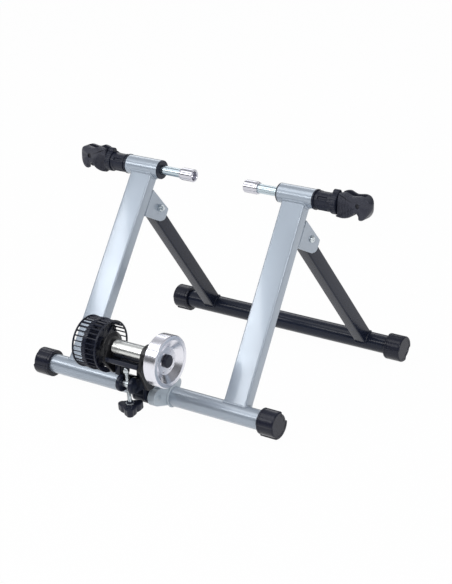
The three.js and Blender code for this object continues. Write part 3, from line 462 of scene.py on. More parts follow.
def round_outline(circles, steps=120):
    """The line drawn tight round circles of (place, place, radius): in the direction u it touches
    the circle with the largest centre.u + radius, at centre + radius * u."""
    circles = np.asarray(circles, float)
    ray = np.stack([np.cos(angles(steps)), np.sin(angles(steps))])
    furthest = circles[(circles[:, :2] @ ray + circles[:, 2:]).argmax(axis=0)]
    return furthest[:, :2] + furthest[:, 2:] * ray.T


def outward_of(outline):
    """Unit vectors square to a closed outline that point out of it."""
    before, after = np.roll(outline, 1, axis=0), np.roll(outline, -1, axis=0)
    tangent = unit(after - before)
    area = np.sum(before[:, 0] * outline[:, 1] - outline[:, 0] * before[:, 1])
    return np.stack([tangent[:, 1], -tangent[:, 0]], axis=1) * np.sign(area)


def plate(outline, start, end, ease=0.8, axes=((0, 1, 0), (0, 0, 1), (1, 0, 0)), origin=(0, 0, 0),
          steps=4):
    """A flat outline given thickness along the third axis. Near each end the outline is drawn in
    by ease * (1 - sin a) at the depth ease * (1 - cos a), so the edge is a quarter circle; one
    face closes each end inside a flat border."""
    outline = np.asarray(outline, float)
    bend = quarter(steps + 1)
    inset = np.concatenate([[ease + 0.3], ease * (1 - np.sin(bend))])
    deep = np.concatenate([[0], ease * (1 - np.cos(bend))])
    along = np.concatenate([start + deep, (end - deep)[::-1]])
    inset = np.concatenate([inset, inset[::-1]])
    flat = outline[None] - inset[:, None, None] * outward_of(outline)[None]
    a, b, c = np.asarray(axes, float)
    points = np.asarray(origin, float) + flat[..., :1] * a + flat[..., 1:] * b + along[:, None, None] * c
    return surface(points, capped=True)


def bead_along(path, radius=2.0, ripple=3.0, closed=False):
    """A weld bead: a round rod along a path, its radius swelling by a tenth with every ripple and
    its open ends rounded off."""
    path, at = evenly_along(np.asarray(path, float), lambda run: max(int(run / 0.8), 4), not closed)
    tangent = unit(np.gradient(path, axis=0))
    helper = np.where(np.abs(tangent[:, :1]) < 0.8, [[1.0, 0, 0]], [[0, 0, 1.0]])
    swell = radius * (1 + 0.1 * np.sin(2 * np.pi * at / ripple))
    if not closed:
        swell = swell * np.sqrt(np.clip(np.minimum(at, at[-1] - at) / radius, 0.02, 1))
    return rod_along(path, tangent, unit(np.cross(tangent, helper)), swell, closed)


def leg_place(rise, reach):
    """A place (back, height) given by its rise along the front leg and its reach behind the leg."""
    return (np.array([hinge_back, hinge_height]) + np.multiply.outer(rise, leg_rise_line)
            + np.multiply.outer(reach, leg_rear_line))


def zinc_skin():
    """Zinc plating: cloudy crystal patches in colour and roughness, and fine scratches as height."""
    group, given, place = effect("zinc_skin", {"Patch scale": 120.0})
    patch = add(group, "TexVoronoi", {"Vector": place, "Scale": given["Patch scale"]})
    grey = add(group, "SeparateColor", {0: patch.outputs["Color"]})
    tone = reckoned(group, "MULTIPLY_ADD", grey.outputs[0], 0.35, noise(group, place, 35, 6))
    return put_out(group, {"Tone": tone, "Roughness": spread(group, tone, 0.3, 0.8, 0.2, 0.36),
                           "Height": noise(group, place, 2200)})


zinc_skin_group = zinc_skin()


def plated(name, colour, shade, slot=None):
    """Zinc or nickel plate: two tones of the metal in patches."""
    return coated(name, zinc_skin_group, colour, shade, 0.05, 0.0003, shader={"Metallic": 1.0}, slot=slot)


zinc = plated("zinc", (0.72, 0.77, 0.8), (0.58, 0.63, 0.66))
cheek_outline = round_outline([
    [*leg_place(bracket_corner - bracket_heel_drop, bracket_heel_reach), bracket_corner],
    [*leg_place(bracket_tip_rise - bracket_heel_drop / 2 - bracket_corner / 2,
                bracket_tip_reach - bracket_corner), bracket_corner],
    [*leg_place(bracket_tip_rise - bracket_plate, bracket_tip_reach - bracket_plate), bracket_plate],
    [*leg_place(-bracket_root_drop + 0.5, -hinge_standoff + 0.5), 0.5],
    [*leg_place(bracket_top_rise - 0.5, -hinge_standoff + 0.5), 0.5]], 180)
web_outline = eased(leg_place(
    np.array([-bracket_root_drop, bracket_top_rise, bracket_top_rise, -bracket_root_drop]),
    np.array([0, 0, bracket_plate, bracket_plate]) - hinge_standoff), 1.0, steps=3, closed=True)
channel_half = leg_size[0] / 2
seat = channel_half + 0.3
bolt_profile = eased([[0, seat + 3.6], [2.2, seat + 3.6], [2.6, seat + 4.6], [4.6, seat + 4.6],
                      [6.6, seat + 2.6], [7.0, seat + 0.9], [7.0, seat], [hinge_bolt_radius, seat],
                      [hinge_bolt_radius, seat - hinge_bolt_length], [0, seat - hinge_bolt_length]],
                     0.8, steps=4)
hinge_at = (hinge_x, hinge_back, hinge_height)
cheeks = [plate(cheek_outline, near, near + bracket_plate, ease=0.7)
          for near in (hinge_x - channel_half, hinge_x + channel_half - bracket_plate)]
seam = leg_place(np.array([2 - bracket_root_drop, bracket_top_rise - 2]), np.full(2, -hinge_standoff - 0.2))
seams = [bead_along(np.column_stack([np.full(2, x), seam]), radius=1.5)
         for x in (hinge_x - channel_half + 0.6, hinge_x + channel_half - 0.6)]
web = plate(web_outline, hinge_x - channel_half + 1, hinge_x + channel_half - 1, ease=0.2)
make_pairs(
    ("hinge_channel", [*cheeks, web, *seams], silver_paint, "front_frame", "hinge_bracket"),
    ("hinge_bolt_round", [turned(bolt_profile, hinge_at, steps=48)], zinc, "front_frame", "hinge_bolt"))


# The nuts on the hinge bolts: six-sided steel nuts with both faces bevelled, zinc plated. They sit
# on the inner cheeks of the channels, inside the stand.
def nut(radius, bore, start, end, centre, along=(1, 0, 0), steps=72):
    """A six-sided ring: the wall's radius follows the hexagon, and both faces are cut back to a
    circle by a bevel. Radius = flat / cos(angle to the nearest flat's middle)."""
    flat = radius * np.cos(np.pi / 6)
    hexagon = flat / np.cos((angles(steps) + np.pi / 6) % (np.pi / 3) - np.pi / 6)
    cut = np.minimum(hexagon, radius * 0.97)
    bevel = 0.12 * (end - start)
    rows = [(bore, start), (flat, start), (cut, start + bevel), (hexagon, start + 2 * bevel),
            (hexagon, end - 2 * bevel), (cut, end - bevel), (flat, end), (bore, end)]
    return turned(rows, centre, along, steps, closed=True)


make_pairs(("hinge_nut_six_sided", [nut(7.5, hinge_bolt_radius, -seat - 6.5, -seat, hinge_at)], zinc,
            "front_frame", "hinge_nut"))

# The rear frame: a second 38 mm base tube with two 25 x 30 mm legs welded on it, painted black.
# Each leg's head is rounded about the hinge bolt so that it can turn in its channel.
frame_spacing = 463.0
rear_leg_size, rear_leg_corner = (25.5, 30.0), 3.0
rear_leg_foot = np.array([190.0, frame_spacing, base_height])
rear_leg_head = np.array([hinge_x, hinge_back, hinge_height])
rear_tube_at = (frame_spacing, base_height)

black_paint = painted(
    "black_paint", (0.016, 0.021, 0.04), (0.012, 0.016, 0.03), (0.1, 0.1, 0.12), 0.015,
    numbers={"Rough low": 0.24, "Rough high": 0.29, "Dust share": 0.01, "Peel scale": 1300.0},
    shader={"Coat Weight": 0.2, "Coat Roughness": 0.13, "Specular IOR Level": 0.15})


def round_head_leg(foot, head, size, corner, tube_at, rows=16):
    """A box section whose sides run up to a half circle about the head: a point of the section
    that lies w in front of the middle rises to sqrt(r^2 - w^2) past the bolt. The top closes over."""
    up, laid = line_frame(foot, head)
    section = box_section(size[0], size[1], corner, steps=8)
    start = laid(section)
    radius, length = size[1] / 2, np.linalg.norm(head - foot)
    top = length + np.sqrt(np.maximum(radius ** 2 - section[:, 1] ** 2, 0))
    bottom = reach_of_tube(start, up, tube_at, buried, True)
    t = bottom + np.linspace(0, 1, rows)[:, None] * (top - bottom)
    w = section[:, 1] * np.cos(quarter(9)[1:, None])
    lift = length + np.sqrt(radius ** 2 - w ** 2)
    crown = laid(np.stack([np.broadcast_to(section[:, 0], w.shape), w], axis=-1)) + lift[..., None] * up
    return surface(np.concatenate([start + t[..., None] * up, crown]))


make_piece("black_base_tube", [open_tube(-base_half_length, base_half_length, *rear_tube_at)],
           black_paint, "rear_frame", "rear_base_tube")
for side_name, _, side in sides:
    ends = rear_leg_foot * (side, 1, 1), rear_leg_head * (side, 1, 1)
    leg = round_head_leg(*ends, rear_leg_size, rear_leg_corner, rear_tube_at)
    bead = weld_bead(*ends, rear_leg_size, rear_leg_corner, rear_tube_at, True, bead=2.3)
    make_piece(f"black_leg_{side_name}", [leg, bead], black_paint, "rear_frame", f"rear_leg_{side_name}")

# The levelling feet: moulded black rubber caps on the ends of both base tubes. The rim has four
# pads of different radius, so turning a cap lifts or lowers its end; the pad underneath is
# pressed flat where it stands.
foot_length, foot_end_wall, foot_bevel, foot_socket, foot_mouth = 36.0, 4.0, 2.6, 19.35, 20.2
foot_pads = ((0.0, 27.4), (0.32, 21.8), (0.5, 25.8), (0.8, 24.4))
foot_pad_middle = 0.16
feet = (("front_left", "fl", -1, 0.0, -0.08), ("front_right", "fr", 1, 0.0, 0.1),
        ("rear_left", "rl", -1, frame_spacing, 0.1), ("rear_right", "rr", 1, frame_spacing, -0.11))


def smooth_step(value, start, end):
    """0 below start, 1 above end, 3t^2 - 2t^3 between."""
    t = np.clip((value - start) / (end - start), 0, 1)
    return t * t * (3 - 2 * t)


def foot_radius(turn_share):
    """Radius against the share of a turn: steps between the pads, each softened over 0.024 turn by
    a smooth step."""
    turn_share = turn_share % 1.0
    radius = np.full(turn_share.shape, foot_pads[0][1])
    for (start, low), (_, previous) in zip(foot_pads, (foot_pads[-1], *foot_pads[:-1])):
        away = (turn_share - start + 0.5) % 1.0 - 0.5
        near = np.abs(away) < 0.012
        radius = np.where((turn_share >= start) & ~near, low, radius)
        radius = np.where(near, previous + (low - previous) * smooth_step(away, -0.012, 0.012), radius)
    return radius


def rolled(outline, at, ease, turn, way=1, outward=1):
    """The rows of an edge that is rolled over: drawn in by ease * (1 - sin a) at the distance
    at + way * ease * (1 - cos a)."""
    return [(outline - outward * ease * (1 - np.sin(a)), at + way * ease * (1 - np.cos(a))) for a in turn]


def about_x(x, centre, radius, angle):
    """Points (x, back + radius * cos angle, height + radius * sin angle) about a line along X."""
    y, z = centre[0] + radius * np.cos(angle), centre[1] + radius * np.sin(angle)
    return np.stack(np.broadcast_arrays(x, y, z), axis=-1)


def foot_cap(side, back, pad_turn, steps=240):
    """The cap as rings along the tube, by angle: the socket, the outside with a groove near its
    mouth and a rounded end, then the sunk end face. Below the floor it is cut flat."""
    end = base_half_length + 0.3 + foot_end_wall
    start = end - foot_length
    outer = foot_radius(angles(steps) / (2 * np.pi) + 0.25 - pad_turn + foot_pad_middle)
    inner = outer - foot_bevel - 3.2
    rings = [(foot_socket, start + 3), (foot_socket, start), (foot_mouth, start)]
    rings += rolled(outer, start, 1.2, quarter(4))
    rings += [(outer - groove, start + d) for d, groove in (
        (4.2, 0), (4.8, 0.7), (5.8, 0.7), (6.4, 0), (12.0, 0), (20.0, 0), (28.0, 0))]
    rings += rolled(outer, end, foot_bevel, quarter(7)[::-1], way=-1)
    rings += [(outer - foot_bevel - 0.4, end), (inner, end), (inner - 0.5, end - 0.7),
              (12.0, end - 0.7), (5.0, end - 0.7), (0.0, end - 0.7)]
    radius = np.stack([np.broadcast_to(r, steps) for r, _ in rings])
    x = np.array([[side * place] for _, place in rings])
    return surface(np.maximum(about_x(x, (back, base_height), radius, angles(steps)), (-np.inf, -np.inf, 0)))


def moulded_skin():
    """Moulded plastic or rubber: fine spark grain as height, with soft patches of gloss."""
    group, given, place = effect("moulded_skin",
                                 {"Grain scale": 1500.0, "Rough low": 0.3, "Rough high": 0.45})
    cloud = noise(group, place, 26, 5)
    return put_out(group, {
        "Tone": cloud, "Height": noise(group, place, given["Grain scale"], 3),
        "Roughness": spread(group, cloud, 0.35, 0.65, given["Rough low"], given["Rough high"])})


moulded_skin_group = moulded_skin()


def moulded(name, colour, shade, grain, rough, shine=0.28, grain_scale=1500.0, slot=None):
    """Moulded plastic or rubber: rough holds the lowest and the highest roughness."""
    return coated(name, moulded_skin_group, colour, shade, grain, 0.0003,
                  {"Rough low": rough[0], "Rough high": rough[1], "Grain scale": grain_scale},
                  shader={"Specular IOR Level": shine}, slot=slot)


foot_rubber = moulded("foot_rubber", (0.011, 0.013, 0.025), (0.017, 0.019, 0.034), 0.05, (0.2, 0.3))
for foot_name, letter, side, back_place, pad_turn in feet:
    make_piece(f"foot_cap_{foot_name}", [foot_cap(side, back_place, pad_turn)], foot_rubber,
               f"foot_{letter}", f"foot_{foot_name}")

# The hinge spacers: moulded black nylon rings on the bolt, on both sides of the rear leg's head.
# They keep it in the middle of its channel.
clear_bore = 4.3
spacer_near, spacer_far, spacer_radius = 13.65, 21.7, 9.0
black_plastic = moulded("black_plastic", (0.011, 0.014, 0.027), (0.018, 0.021, 0.037), 0.12, (0.26, 0.38))
make_pairs(*((f"hinge_washer_{label}",
              [ring(clear_bore, spacer_radius, low, high, 0.5, hinge_at, steps=48)],
              black_plastic, "front_frame", f"hinge_spacer_{label}")
             for label, low, high in (("inner", -spacer_far, -spacer_near),
                                      ("outer", spacer_near, spacer_far))))

# The axle clamps' bushes and sleeves: moulded black plastic, pressed into both ends of each clamp
# tube. The bush is a plain flanged ring. The sleeve's outside has a lip at both ends, a slot on
# its upper front, and lengthwise ribs below.
clamp_bore = 9.3
bush_start, bush_face, bush_radius = 139.2, 141.7, 18.8
sleeve_face, sleeve_flange_end, sleeve_end = 219.3, 222.3, 258.0
sleeve_radius = 18.4
slot_start, slot_end, slot_angle = 231.0, 250.0, np.radians(148)
clamp_axis = (0, clamp_back, clamp_height)


def band(value, start, end, soft):
    """1 between start and end, 0 outside, each side softened over the length soft."""
    return smooth_step(value, start - soft, start) * (1 - smooth_step(value, end, end + soft))


def sleeve_surface(steps=180):
    """Radius against the place along the tube and the angle: flange, necks, lips, slot and ribs
    are bands added to the plain sleeve."""
    place = np.concatenate([[sleeve_face, sleeve_face + 0.25, sleeve_face + 0.6],
                            np.linspace(sleeve_face + 0.9, sleeve_end - 0.6, 110),
                            [sleeve_end - 0.25, sleeve_end]])
    x, a = np.meshgrid(place, angles(steps), indexing="ij")
    radius = np.full(x.shape, sleeve_radius - 0.7)
    radius += 2.1 * band(x, sleeve_face, sleeve_flange_end, 0.5)
    radius -= 0.9 * band(x, sleeve_flange_end + 0.9, 226.0, 0.5)
    radius += 0.7 * band(x, 227.0, 229.5, 0.6)
    radius += 0.7 * band(x, 251.5, sleeve_end, 0.8)
    wide = np.abs((a - slot_angle + np.pi) % (2 * np.pi) - np.pi) * sleeve_radius
    slot = band(x, slot_start, slot_end, 0.6)
    radius += slot * (0.7 * band(wide, 3.4, 4.6, 0.5) - 2.0 * (1 - smooth_step(wide, 2.0, 2.8)))
    below = smooth_step(-np.sin(a), 0.55, 0.75)
    radius += np.maximum(np.cos(a * 26), 0) ** 3 * band(x, 230.0, 251.0, 1.0) * below
    radius[0] = radius[-1] = clamp_bore
    radius[1] -= 0.5
    radius[-2] -= 0.4
    return surface(about_x(x, clamp_tube_at, radius, a))


bush = ring(clamp_bore, bush_radius, bush_start, bush_face, 0.7, clamp_axis, ease_steps=4)
make_pairs(("bush_ring", [bush], black_plastic, "front_frame", "clamp_bush"),
           ("sleeve_ribbed", [sleeve_surface()], black_plastic, "front_frame", "clamp_sleeve"))

# The lock collars: moulded black nuts that run on the rod's thread, with a round lug on top for
# the thumb and shallow grip flutes round the rest.
collar_start, collar_end = 258.3, 270.9
collar_radius, collar_lug_radius, collar_lug_height, collar_ease = 21.0, 7.0, 20.0, 1.4


def collar_outline(steps=288):
    """Radius by angle: flutes cut 0.5 mm into the ring, and the lug's far side where a ray from
    the axis meets it: h cos d + sqrt(r^2 - h^2 sin^2 d), d being the angle from straight up."""
    angle = angles(steps)
    from_top = (angle - np.pi / 2 + np.pi) % (2 * np.pi) - np.pi
    reach = collar_lug_radius ** 2 - (collar_lug_height * np.sin(from_top)) ** 2
    lug = np.where((reach > 0) & (np.cos(from_top) > 0),
                   collar_lug_height * np.cos(from_top) + np.sqrt(np.maximum(reach, 0)), 0)
    flute = 0.5 * np.maximum(np.cos(angle * 24), 0) ** 2 * smooth_step(np.abs(from_top), 0.5, 0.7)
    return np.maximum(collar_radius - flute, lug)


outline = collar_outline()
edge = [(outline - 2.0, 0.0), (outline - collar_ease, 0.0),
        *rolled(outline, 0.0, collar_ease, np.linspace(0.3, np.pi / 2, 5))]
rows = [(clamp_bore, collar_start), *((radius, collar_start + deep) for radius, deep in edge),
        *((radius, collar_end - deep) for radius, deep in edge[::-1]), (clamp_bore, collar_end)]
make_pairs(("lock_nut", [turned(rows, clamp_axis, steps=len(outline), closed=True)], black_plastic,
            "collar_*", "lock_collar"))

# The clamp rods: 18 mm zinc plated steel bar, milled at the outer end to a flat tongue with an
# eye for the lever's pin. On the inner end sits a chrome plated steel cup that takes the wheel's
# axle nut, with a groove where it meets the rod.
rod_radius, rod_start, tongue_start, tongue_half, neck_end = 9.0, 84.0, 262.0, 6.0, 277.0
pin_out, pin_rise, eye_radius = 315.0, 5.0, 9.0
cup_start, cup_end = 61.0, 92.0
cup_radius, cup_socket_radius, cup_socket_depth = 12.5, 8.5, 11.0


def lathe_skin():
    """Turned metal: fine bands across the axis x, from noise over x alone, as height and, with
    clouds added, as roughness."""
    group, given, place = effect("lathe_skin",
                                 {"Band scale": 900.0, "Rough low": 0.1, "Rough high": 0.18})
    across = add(group, "SeparateXYZ", {0: place}).outputs["X"]
    along = reckoned(group, "MULTIPLY", across, given["Band scale"])
    band = add(group, "TexNoise", {"W": along, "Scale": 1.0, "Detail": 4}, noise_dimensions="1D")
    cloud = noise(group, place, 40, 4)
    both = reckoned(group, "ADD", band.outputs["Fac"], cloud)
    return put_out(group, {
        "Tone": cloud, "Height": band.outputs["Fac"],
        "Roughness": spread(group, both, 0.7, 1.3, given["Rough low"], given["Rough high"])})


lathe_skin_group = lathe_skin()


def lathe_turned(name, colour, shade, bump, rough_low, rough_high, band_scale=900.0, slot=None):
    """Bright metal off the lathe: two tones in clouds, fine bands as bump."""
    return coated(name, lathe_skin_group, colour, shade, bump, 0.0002,
                  {"Rough low": rough_low, "Rough high": rough_high, "Band scale": band_scale},
                  shader={"Metallic": 1.0}, slot=slot)


chrome = lathe_turned("chrome", (0.66, 0.66, 0.71), (0.58, 0.58, 0.64), 0.004, 0.12, 0.18)
rod_zinc = lathe_turned("rod_zinc", (0.57, 0.66, 0.71), (0.5, 0.59, 0.64), 0.004, 0.2, 0.3, slot="zinc")
shank = eased(boxed(0, rod_radius, rod_start, tongue_start), 0.6, steps=4)
neck = eased(boxed(tongue_start - 3, neck_end, -rod_radius, rod_radius), 0.8, steps=3, closed=True)
eye = round_outline([[pin_out, pin_rise, eye_radius], [275.4, 4.5, 4.5], [275.4, -4.5, 4.5]])
floor_at = cup_start + cup_socket_depth
cup_profile = eased([
    [0, floor_at], [cup_socket_radius - 1.5, floor_at], [cup_socket_radius, floor_at - 1.5],
    [cup_socket_radius, cup_start + 1.2], [cup_socket_radius + 1.2, cup_start],
    [cup_radius - 0.8, cup_start], [cup_radius, cup_start + 0.8], [cup_radius, 87.5], [11.4, 88.6],
    [11.4, 91.2], [10.6, cup_end], [rod_radius - 0.3, cup_end]], 0.5, steps=4)
upright = ((1, 0, 0), (0, 0, 1), (0, 1, 0))
tongue = [plate(outline, -tongue_half, tongue_half, ease, upright, clamp_axis)
          for outline, ease in ((neck, 0.8), (eye, 0.6))]
make_pairs(
    ("rod_with_tongue", [turned(shank, clamp_axis), *tongue], rod_zinc, "rod_*", "clamp_rod"),
    ("axle_cup_chromed", [turned(cup_profile, clamp_axis, steps=120)], chrome, "rod_*", "clamp_cup"))

# The clamp levers: thick moulded black plastic cams that straddle the rod's tongue and turn on a
# steel pin. The inner end has a hump on top and a ribbed belly for the palm; past the pin the
# lever closes to a smooth lobe that hooks down.
lever_half, lever_slot_half, lever_slot_end, lever_edge = 13.5, 6.3, 12.0, 3.0
lever_nose_at = 12.5
pin_at = np.array([pin_out, clamp_back, clamp_height + pin_rise])
lever_outline_points = [
    (-43.5, 15.0), (-39, 19), (-32, 21.5), (-25, 22), (-15.7, 18.5), (-9, 17.5), (7, 19.5), (17, 16),
    (24, 8), (26, -1), (23, -11), (17, -20), (11, -25.4), (5, -26.5), (2.1, -24.3), (1.6, -19.4),
    (-2, -14.8), (-6, -14.8), (-11, -18.6), (-19, -24), (-30, -27), (-41, -26.5), (-43.5, -23.5)]


def through_points(points, steps):
    """A closed curve through points: on each stretch the cubic with p(0)=B, p(1)=C and slopes
    (C-A)/2 and (D-B)/2."""
    a, b, c, d = (np.roll(points, shift, axis=0)[:, None] for shift in (1, 0, -1, -2))
    t = np.linspace(0, 1, steps, endpoint=False)[None, :, None]
    curve = (b + t * (c - a) / 2 + t ** 2 * (a - 2.5 * b + 2 * c - d / 2)
             + t ** 3 * (1.5 * (b - c) + (d - a) / 2))
    return curve.reshape(-1, 2)


def kept_in_swing(outline):
    """Above the pin the lever's inner end stays inside the circle that clears the collar."""
    radius = pin_out - collar_end - 0.3
    far = np.linalg.norm(outline, axis=1)
    shrink = np.where((outline[:, 0] < 0) & (outline[:, 1] > 0), np.minimum(1, radius / far), 1)
    kept = outline * shrink[:, None]
    return np.column_stack([np.maximum(kept[:, 0], -radius), kept[:, 1]])


def nosed(points, faces):
    """The lever's outer end is round in plan: past the nose's middle the width shrinks by
    sqrt(1 - (run / half width)^2)."""
    run = np.clip((points[:, 0] - pin_out - lever_nose_at) / lever_half, 0, 1)
    narrow = np.maximum(np.sqrt(1 - run ** 2), 0.1)
    return np.column_stack([points[:, 0], clamp_back + (points[:, 1] - clamp_back) * narrow,
                            points[:, 2]]), faces


def lever_cheek(outline, way, steps=6):
    """One cheek: from the floor of an oval recess round the pin, up its wall, over the flat, round
    the outer edge and down the rim to the slot. Each ring has as many points as the outline, and
    the recess's points lie on the same rays from the pin."""
    angle = np.arctan2(outline[:, 1], outline[:, 0])
    oval = np.stack([3.9 * np.cos(angle), 5.0 * np.sin(angle)], axis=1)
    outward = outward_of(outline)
    rings = [(oval * 0.9, 2.4), (oval, 2.2), (oval, 0.5), (oval * 1.06, 0.15), (oval * 1.14, 0.0),
             (outline - outward * (lever_edge + 0.5), 0.0)]
    rings += rolled(outline, 0.0, lever_edge, quarter(steps + 1), outward=outward)
    rings += [(outline, lever_half - lever_slot_half)]
    flat = np.stack([line for line, _ in rings])
    depth = way * (lever_half - np.array([deep for _, deep in rings]))
    y = np.broadcast_to(depth[:, None], flat.shape[:2])
    return surface(np.stack([flat[..., 0], y, flat[..., 1]], axis=-1) + pin_at, capped=True)


def belly_ribs(outline, pitch=3.2, radius=1.1, steps=8):
    """Half-buried rods round the belly: each runs down one cheek, round the edge, under the lever
    and up the other cheek at one place along it."""
    lower = outline[(outline[:, 1] < -10) & (outline[:, 0] < -5)]
    lower = lower[np.argsort(lower[:, 0])]
    bend = quarter(7)[1:]
    down = np.concatenate([[lever_half] * steps, lever_half - lever_edge * (1 - np.cos(bend))])
    y = np.concatenate([down, -down[::-1]])
    taper = np.clip(np.minimum(np.arange(len(y)), np.arange(len(y))[::-1]) / 1.5, 0.15, 1)
    ribs = []
    for at in np.arange(-40.5, -9.0, pitch):
        low = np.interp(at, *lower.T)
        wall = np.linspace(np.interp(at, [-41, -25, -9], [6.0, 9.0, -6.0]), low + lever_edge, steps)
        half_run = np.concatenate([wall, low + lever_edge * (1 - np.sin(bend))])
        path = np.column_stack([np.full(len(y), at), y, np.concatenate([half_run, half_run[::-1]])])
        sideways = np.broadcast_to([1.0, 0, 0], path.shape)
        ribs.append(rod_along(path + pin_at, unit(np.gradient(path, axis=0)), sideways, radius * taper,
                              steps=steps))
    return ribs


lever_plastic = moulded("lever_plastic", (0.021, 0.023, 0.038), (0.03, 0.033, 0.052), 0.1, (0.34, 0.46),
                        0.5, 1100.0, "black_plastic")
# The pin is coloured near black: painted shade, for the dark hole at the pin.
pin_painted_shade = plated("pin_painted_shade", (0.05, 0.05, 0.055), (0.03, 0.03, 0.035), "steel")
lever_outline = kept_in_swing(through_points(lever_outline_points, 9))
lobe = lever_outline[lever_outline[:, 0] > lever_slot_end]
lobe = np.concatenate([[[lever_slot_end, lobe[0, 1] + 0.2]], lobe, [[lever_slot_end, lobe[-1, 1] - 0.1]]])
infill = plate(lobe, -lever_slot_half - 0.1, lever_slot_half + 0.1, 0.02, upright, pin_at)
oval_turn = angles(60)
cheeks = [lever_cheek(lever_outline, way) for way in (-1, 1)]
lever_parts = [nosed(*part) for part in (*cheeks, infill)]
for way in (-1, 1):
    oval = np.stack([6.5 * np.cos(oval_turn) - 29, np.full(60, way * (lever_half - 0.2)),
                     4.4 * np.sin(oval_turn) + 13], axis=1)
    lever_parts.append(bead_along(oval + pin_at, radius=0.9, ripple=np.inf, closed=True))
pin_profile = eased([[0, -11.4], [3.7, -11.4], [4.0, -11.0], [4.0, 11.0], [3.7, 11.4], [0, 11.4]], 0.3,
                    steps=3)
make_pairs(
    ("cam_lever", [*lever_parts, *belly_ribs(lever_outline)], lever_plastic, "lever_*", "clamp_lever"),
    ("lever_pivot", [turned(pin_profile, pin_at, (0, 1, 0), 48)], pin_painted_shade, "rod_*", "lever_pin"))

# The roller unit's bracket: two pressed steel plates bent round the base tube and welded to it,
# in the front frame's silver paint, joined by a face towards the front. Its copy of that paint is
# less metallic and coloured much lighter; the added lightness is painted light.
unit_bracket_start, unit_bracket_end, unit_plate = 27.5, 43.0, 3.0
pivot_back, pivot_height = -44.0, 38.0
unit_outline = round_outline([[pivot_back, pivot_height, 16.5], [18, 48, 9], [0, base_height, 17.4]], 200)
# A lighter copy of the silver paint: the lightness added to its colour is painted light.
silver_painted_light = painted("unit_bracket_painted_light", (0.62, 0.69, 0.74), (0.56, 0.63, 0.68), (0.6, 0.62, 0.65),
                      shader={"Metallic": 0.15}, slot="silver_paint")


def bent_face(outline, start, end, wall=3.0):
    """The face between two plates: the outline's own run on the front, given a thickness inwards."""
    front = outline[outline[:, 0] < -30]
    turn_to = np.arctan2(front[:, 1] - pivot_height, front[:, 0] - pivot_back) % (2 * np.pi)
    front = front[np.argsort(turn_to)]
    inner = front + unit(front.mean(axis=0) - front) * wall
    return plate(np.concatenate([front, inner[::-1]]), start, end, ease=0.02)


sweep = np.radians(np.linspace(60, 400, 90))
make_piece("unit_bracket_pressed",
           [plate(unit_outline, unit_bracket_start, unit_bracket_start + unit_plate),
            plate(unit_outline, unit_bracket_end - unit_plate, unit_bracket_end),
            bent_face(unit_outline, unit_bracket_start + 2.6, unit_bracket_end - 2.6),
            *(bead_along(about_x(x, base_tube_at, 19.9, sweep), radius=1.9, ripple=3.4)
              for x in (unit_bracket_start - 1.6, unit_bracket_end + 1.6))],
           silver_painted_light, "front_frame", "unit_bracket")

# The adjuster bracket: two black painted steel cheeks that hang on the pivot bolt and carry the
# trunnion of the adjusting screw. The left cheek's boss is ridged, the right one's has steps.
left_cheek_start, left_cheek_end, right_cheek_start, right_cheek_end = -10.0, -3.0, 17.0, 24.0
trunnion = (-91.5, 74.0)
elbow = [-52, 66, 8]


def cheek_plates(lug, start, end):
    """A cheek is two straight arms that share the elbow: trunnion to elbow, elbow to pivot."""
    return [plate(round_outline([[*far, radius], elbow], steps=150), start, end, ease=1.2)
            for far, radius in ((trunnion, lug), ((pivot_back, pivot_height), 15.0))]


bridge = eased(boxed(0, 5, left_cheek_end - 1, right_cheek_start + 1), 0.1)
teeth = [bead_along(about_x(left_cheek_start - 0.1, trunnion, np.linspace(9.5, 15.6, 6), a),
                    radius=0.9, ripple=np.inf) for a in angles(24)]
steps_round_boss = [bead_along(about_x(right_cheek_end + 0.1, trunnion, radius, angles(96)),
                               radius=thick, ripple=np.inf, closed=True)
                    for radius, thick in ((13.6, 0.8), (10.4, 0.9), (7.4, 0.7))]
make_piece("adjuster_bracket_forged",
           [*cheek_plates(16.9, left_cheek_start, left_cheek_end),
            *cheek_plates(15.4, right_cheek_start, right_cheek_end),
            turned(bridge, (0, -70, 70), steps=48), *teeth, *steps_round_boss],
           black_paint, "front_frame", "adjuster_bracket")

# The pivot and the adjuster: the zinc plated bolt that the carriage turns on, a barrel nut between
# the cheeks with a journal in each, and through it an 8 mm threaded rod with a jam nut, a washer
# and a moulded three-lobed knob below, and a domed cap on top that bears on the carriage.
pivot_at = (0, pivot_back, pivot_height)
screw_origin = (7, *trunnion)
screw_up = (0, -0.127065, 0.991894)
screw_radius, thread_depth, thread_pitch = 3.95, 0.45, 1.25
screw_low, screw_high = -53.0, 29.61
shank = eased([[0, -18.6], [3.6, -18.6], [4.0, -18.2], [4.0, 38.4], [7.4, 38.4], [7.4, 41.6],
               [5.8, 43.2], [0, 43.2]], 0.5, steps=4)
barrel = eased([[0, -16.8], [3.4, -16.8], [4.2, -16.0], [4.2, -9.6], [6.5, -9.6], [6.5, 9.6],
                [4.2, 9.6], [4.2, 16.2], [3.4, 16.9], [0, 16.9]], 0.5, steps=4)
dome = [[0, 25.7], [6.0, 25.7], [6.0, 27.4],
        *([6.0 * np.cos(a), 27.6 + 7.9 * np.sin(a)] for a in quarter(14))]


def threaded(start, end, columns=40):
    """Radius = r - depth * (1 - |2 f - 1|), f being the fraction of distance / pitch - angle / 2 pi."""
    place = np.arange(start, end, thread_pitch / 8)
    d, a = np.meshgrid(place, angles(columns), indexing="ij")
    f = (d / thread_pitch - a / (2 * np.pi)) % 1.0
    ends = smooth_step(d, start, start + 1.2) * (1 - smooth_step(d, end - 1.2, end))
    radius = screw_radius - thread_depth * (1 - np.abs(2 * f - 1)) - 0.5 * (1 - ends)
    rows = [(0.0, place[0]), *zip(radius, place), (0.0, place[-1])]
    return turned(rows, screw_origin, screw_up, columns)


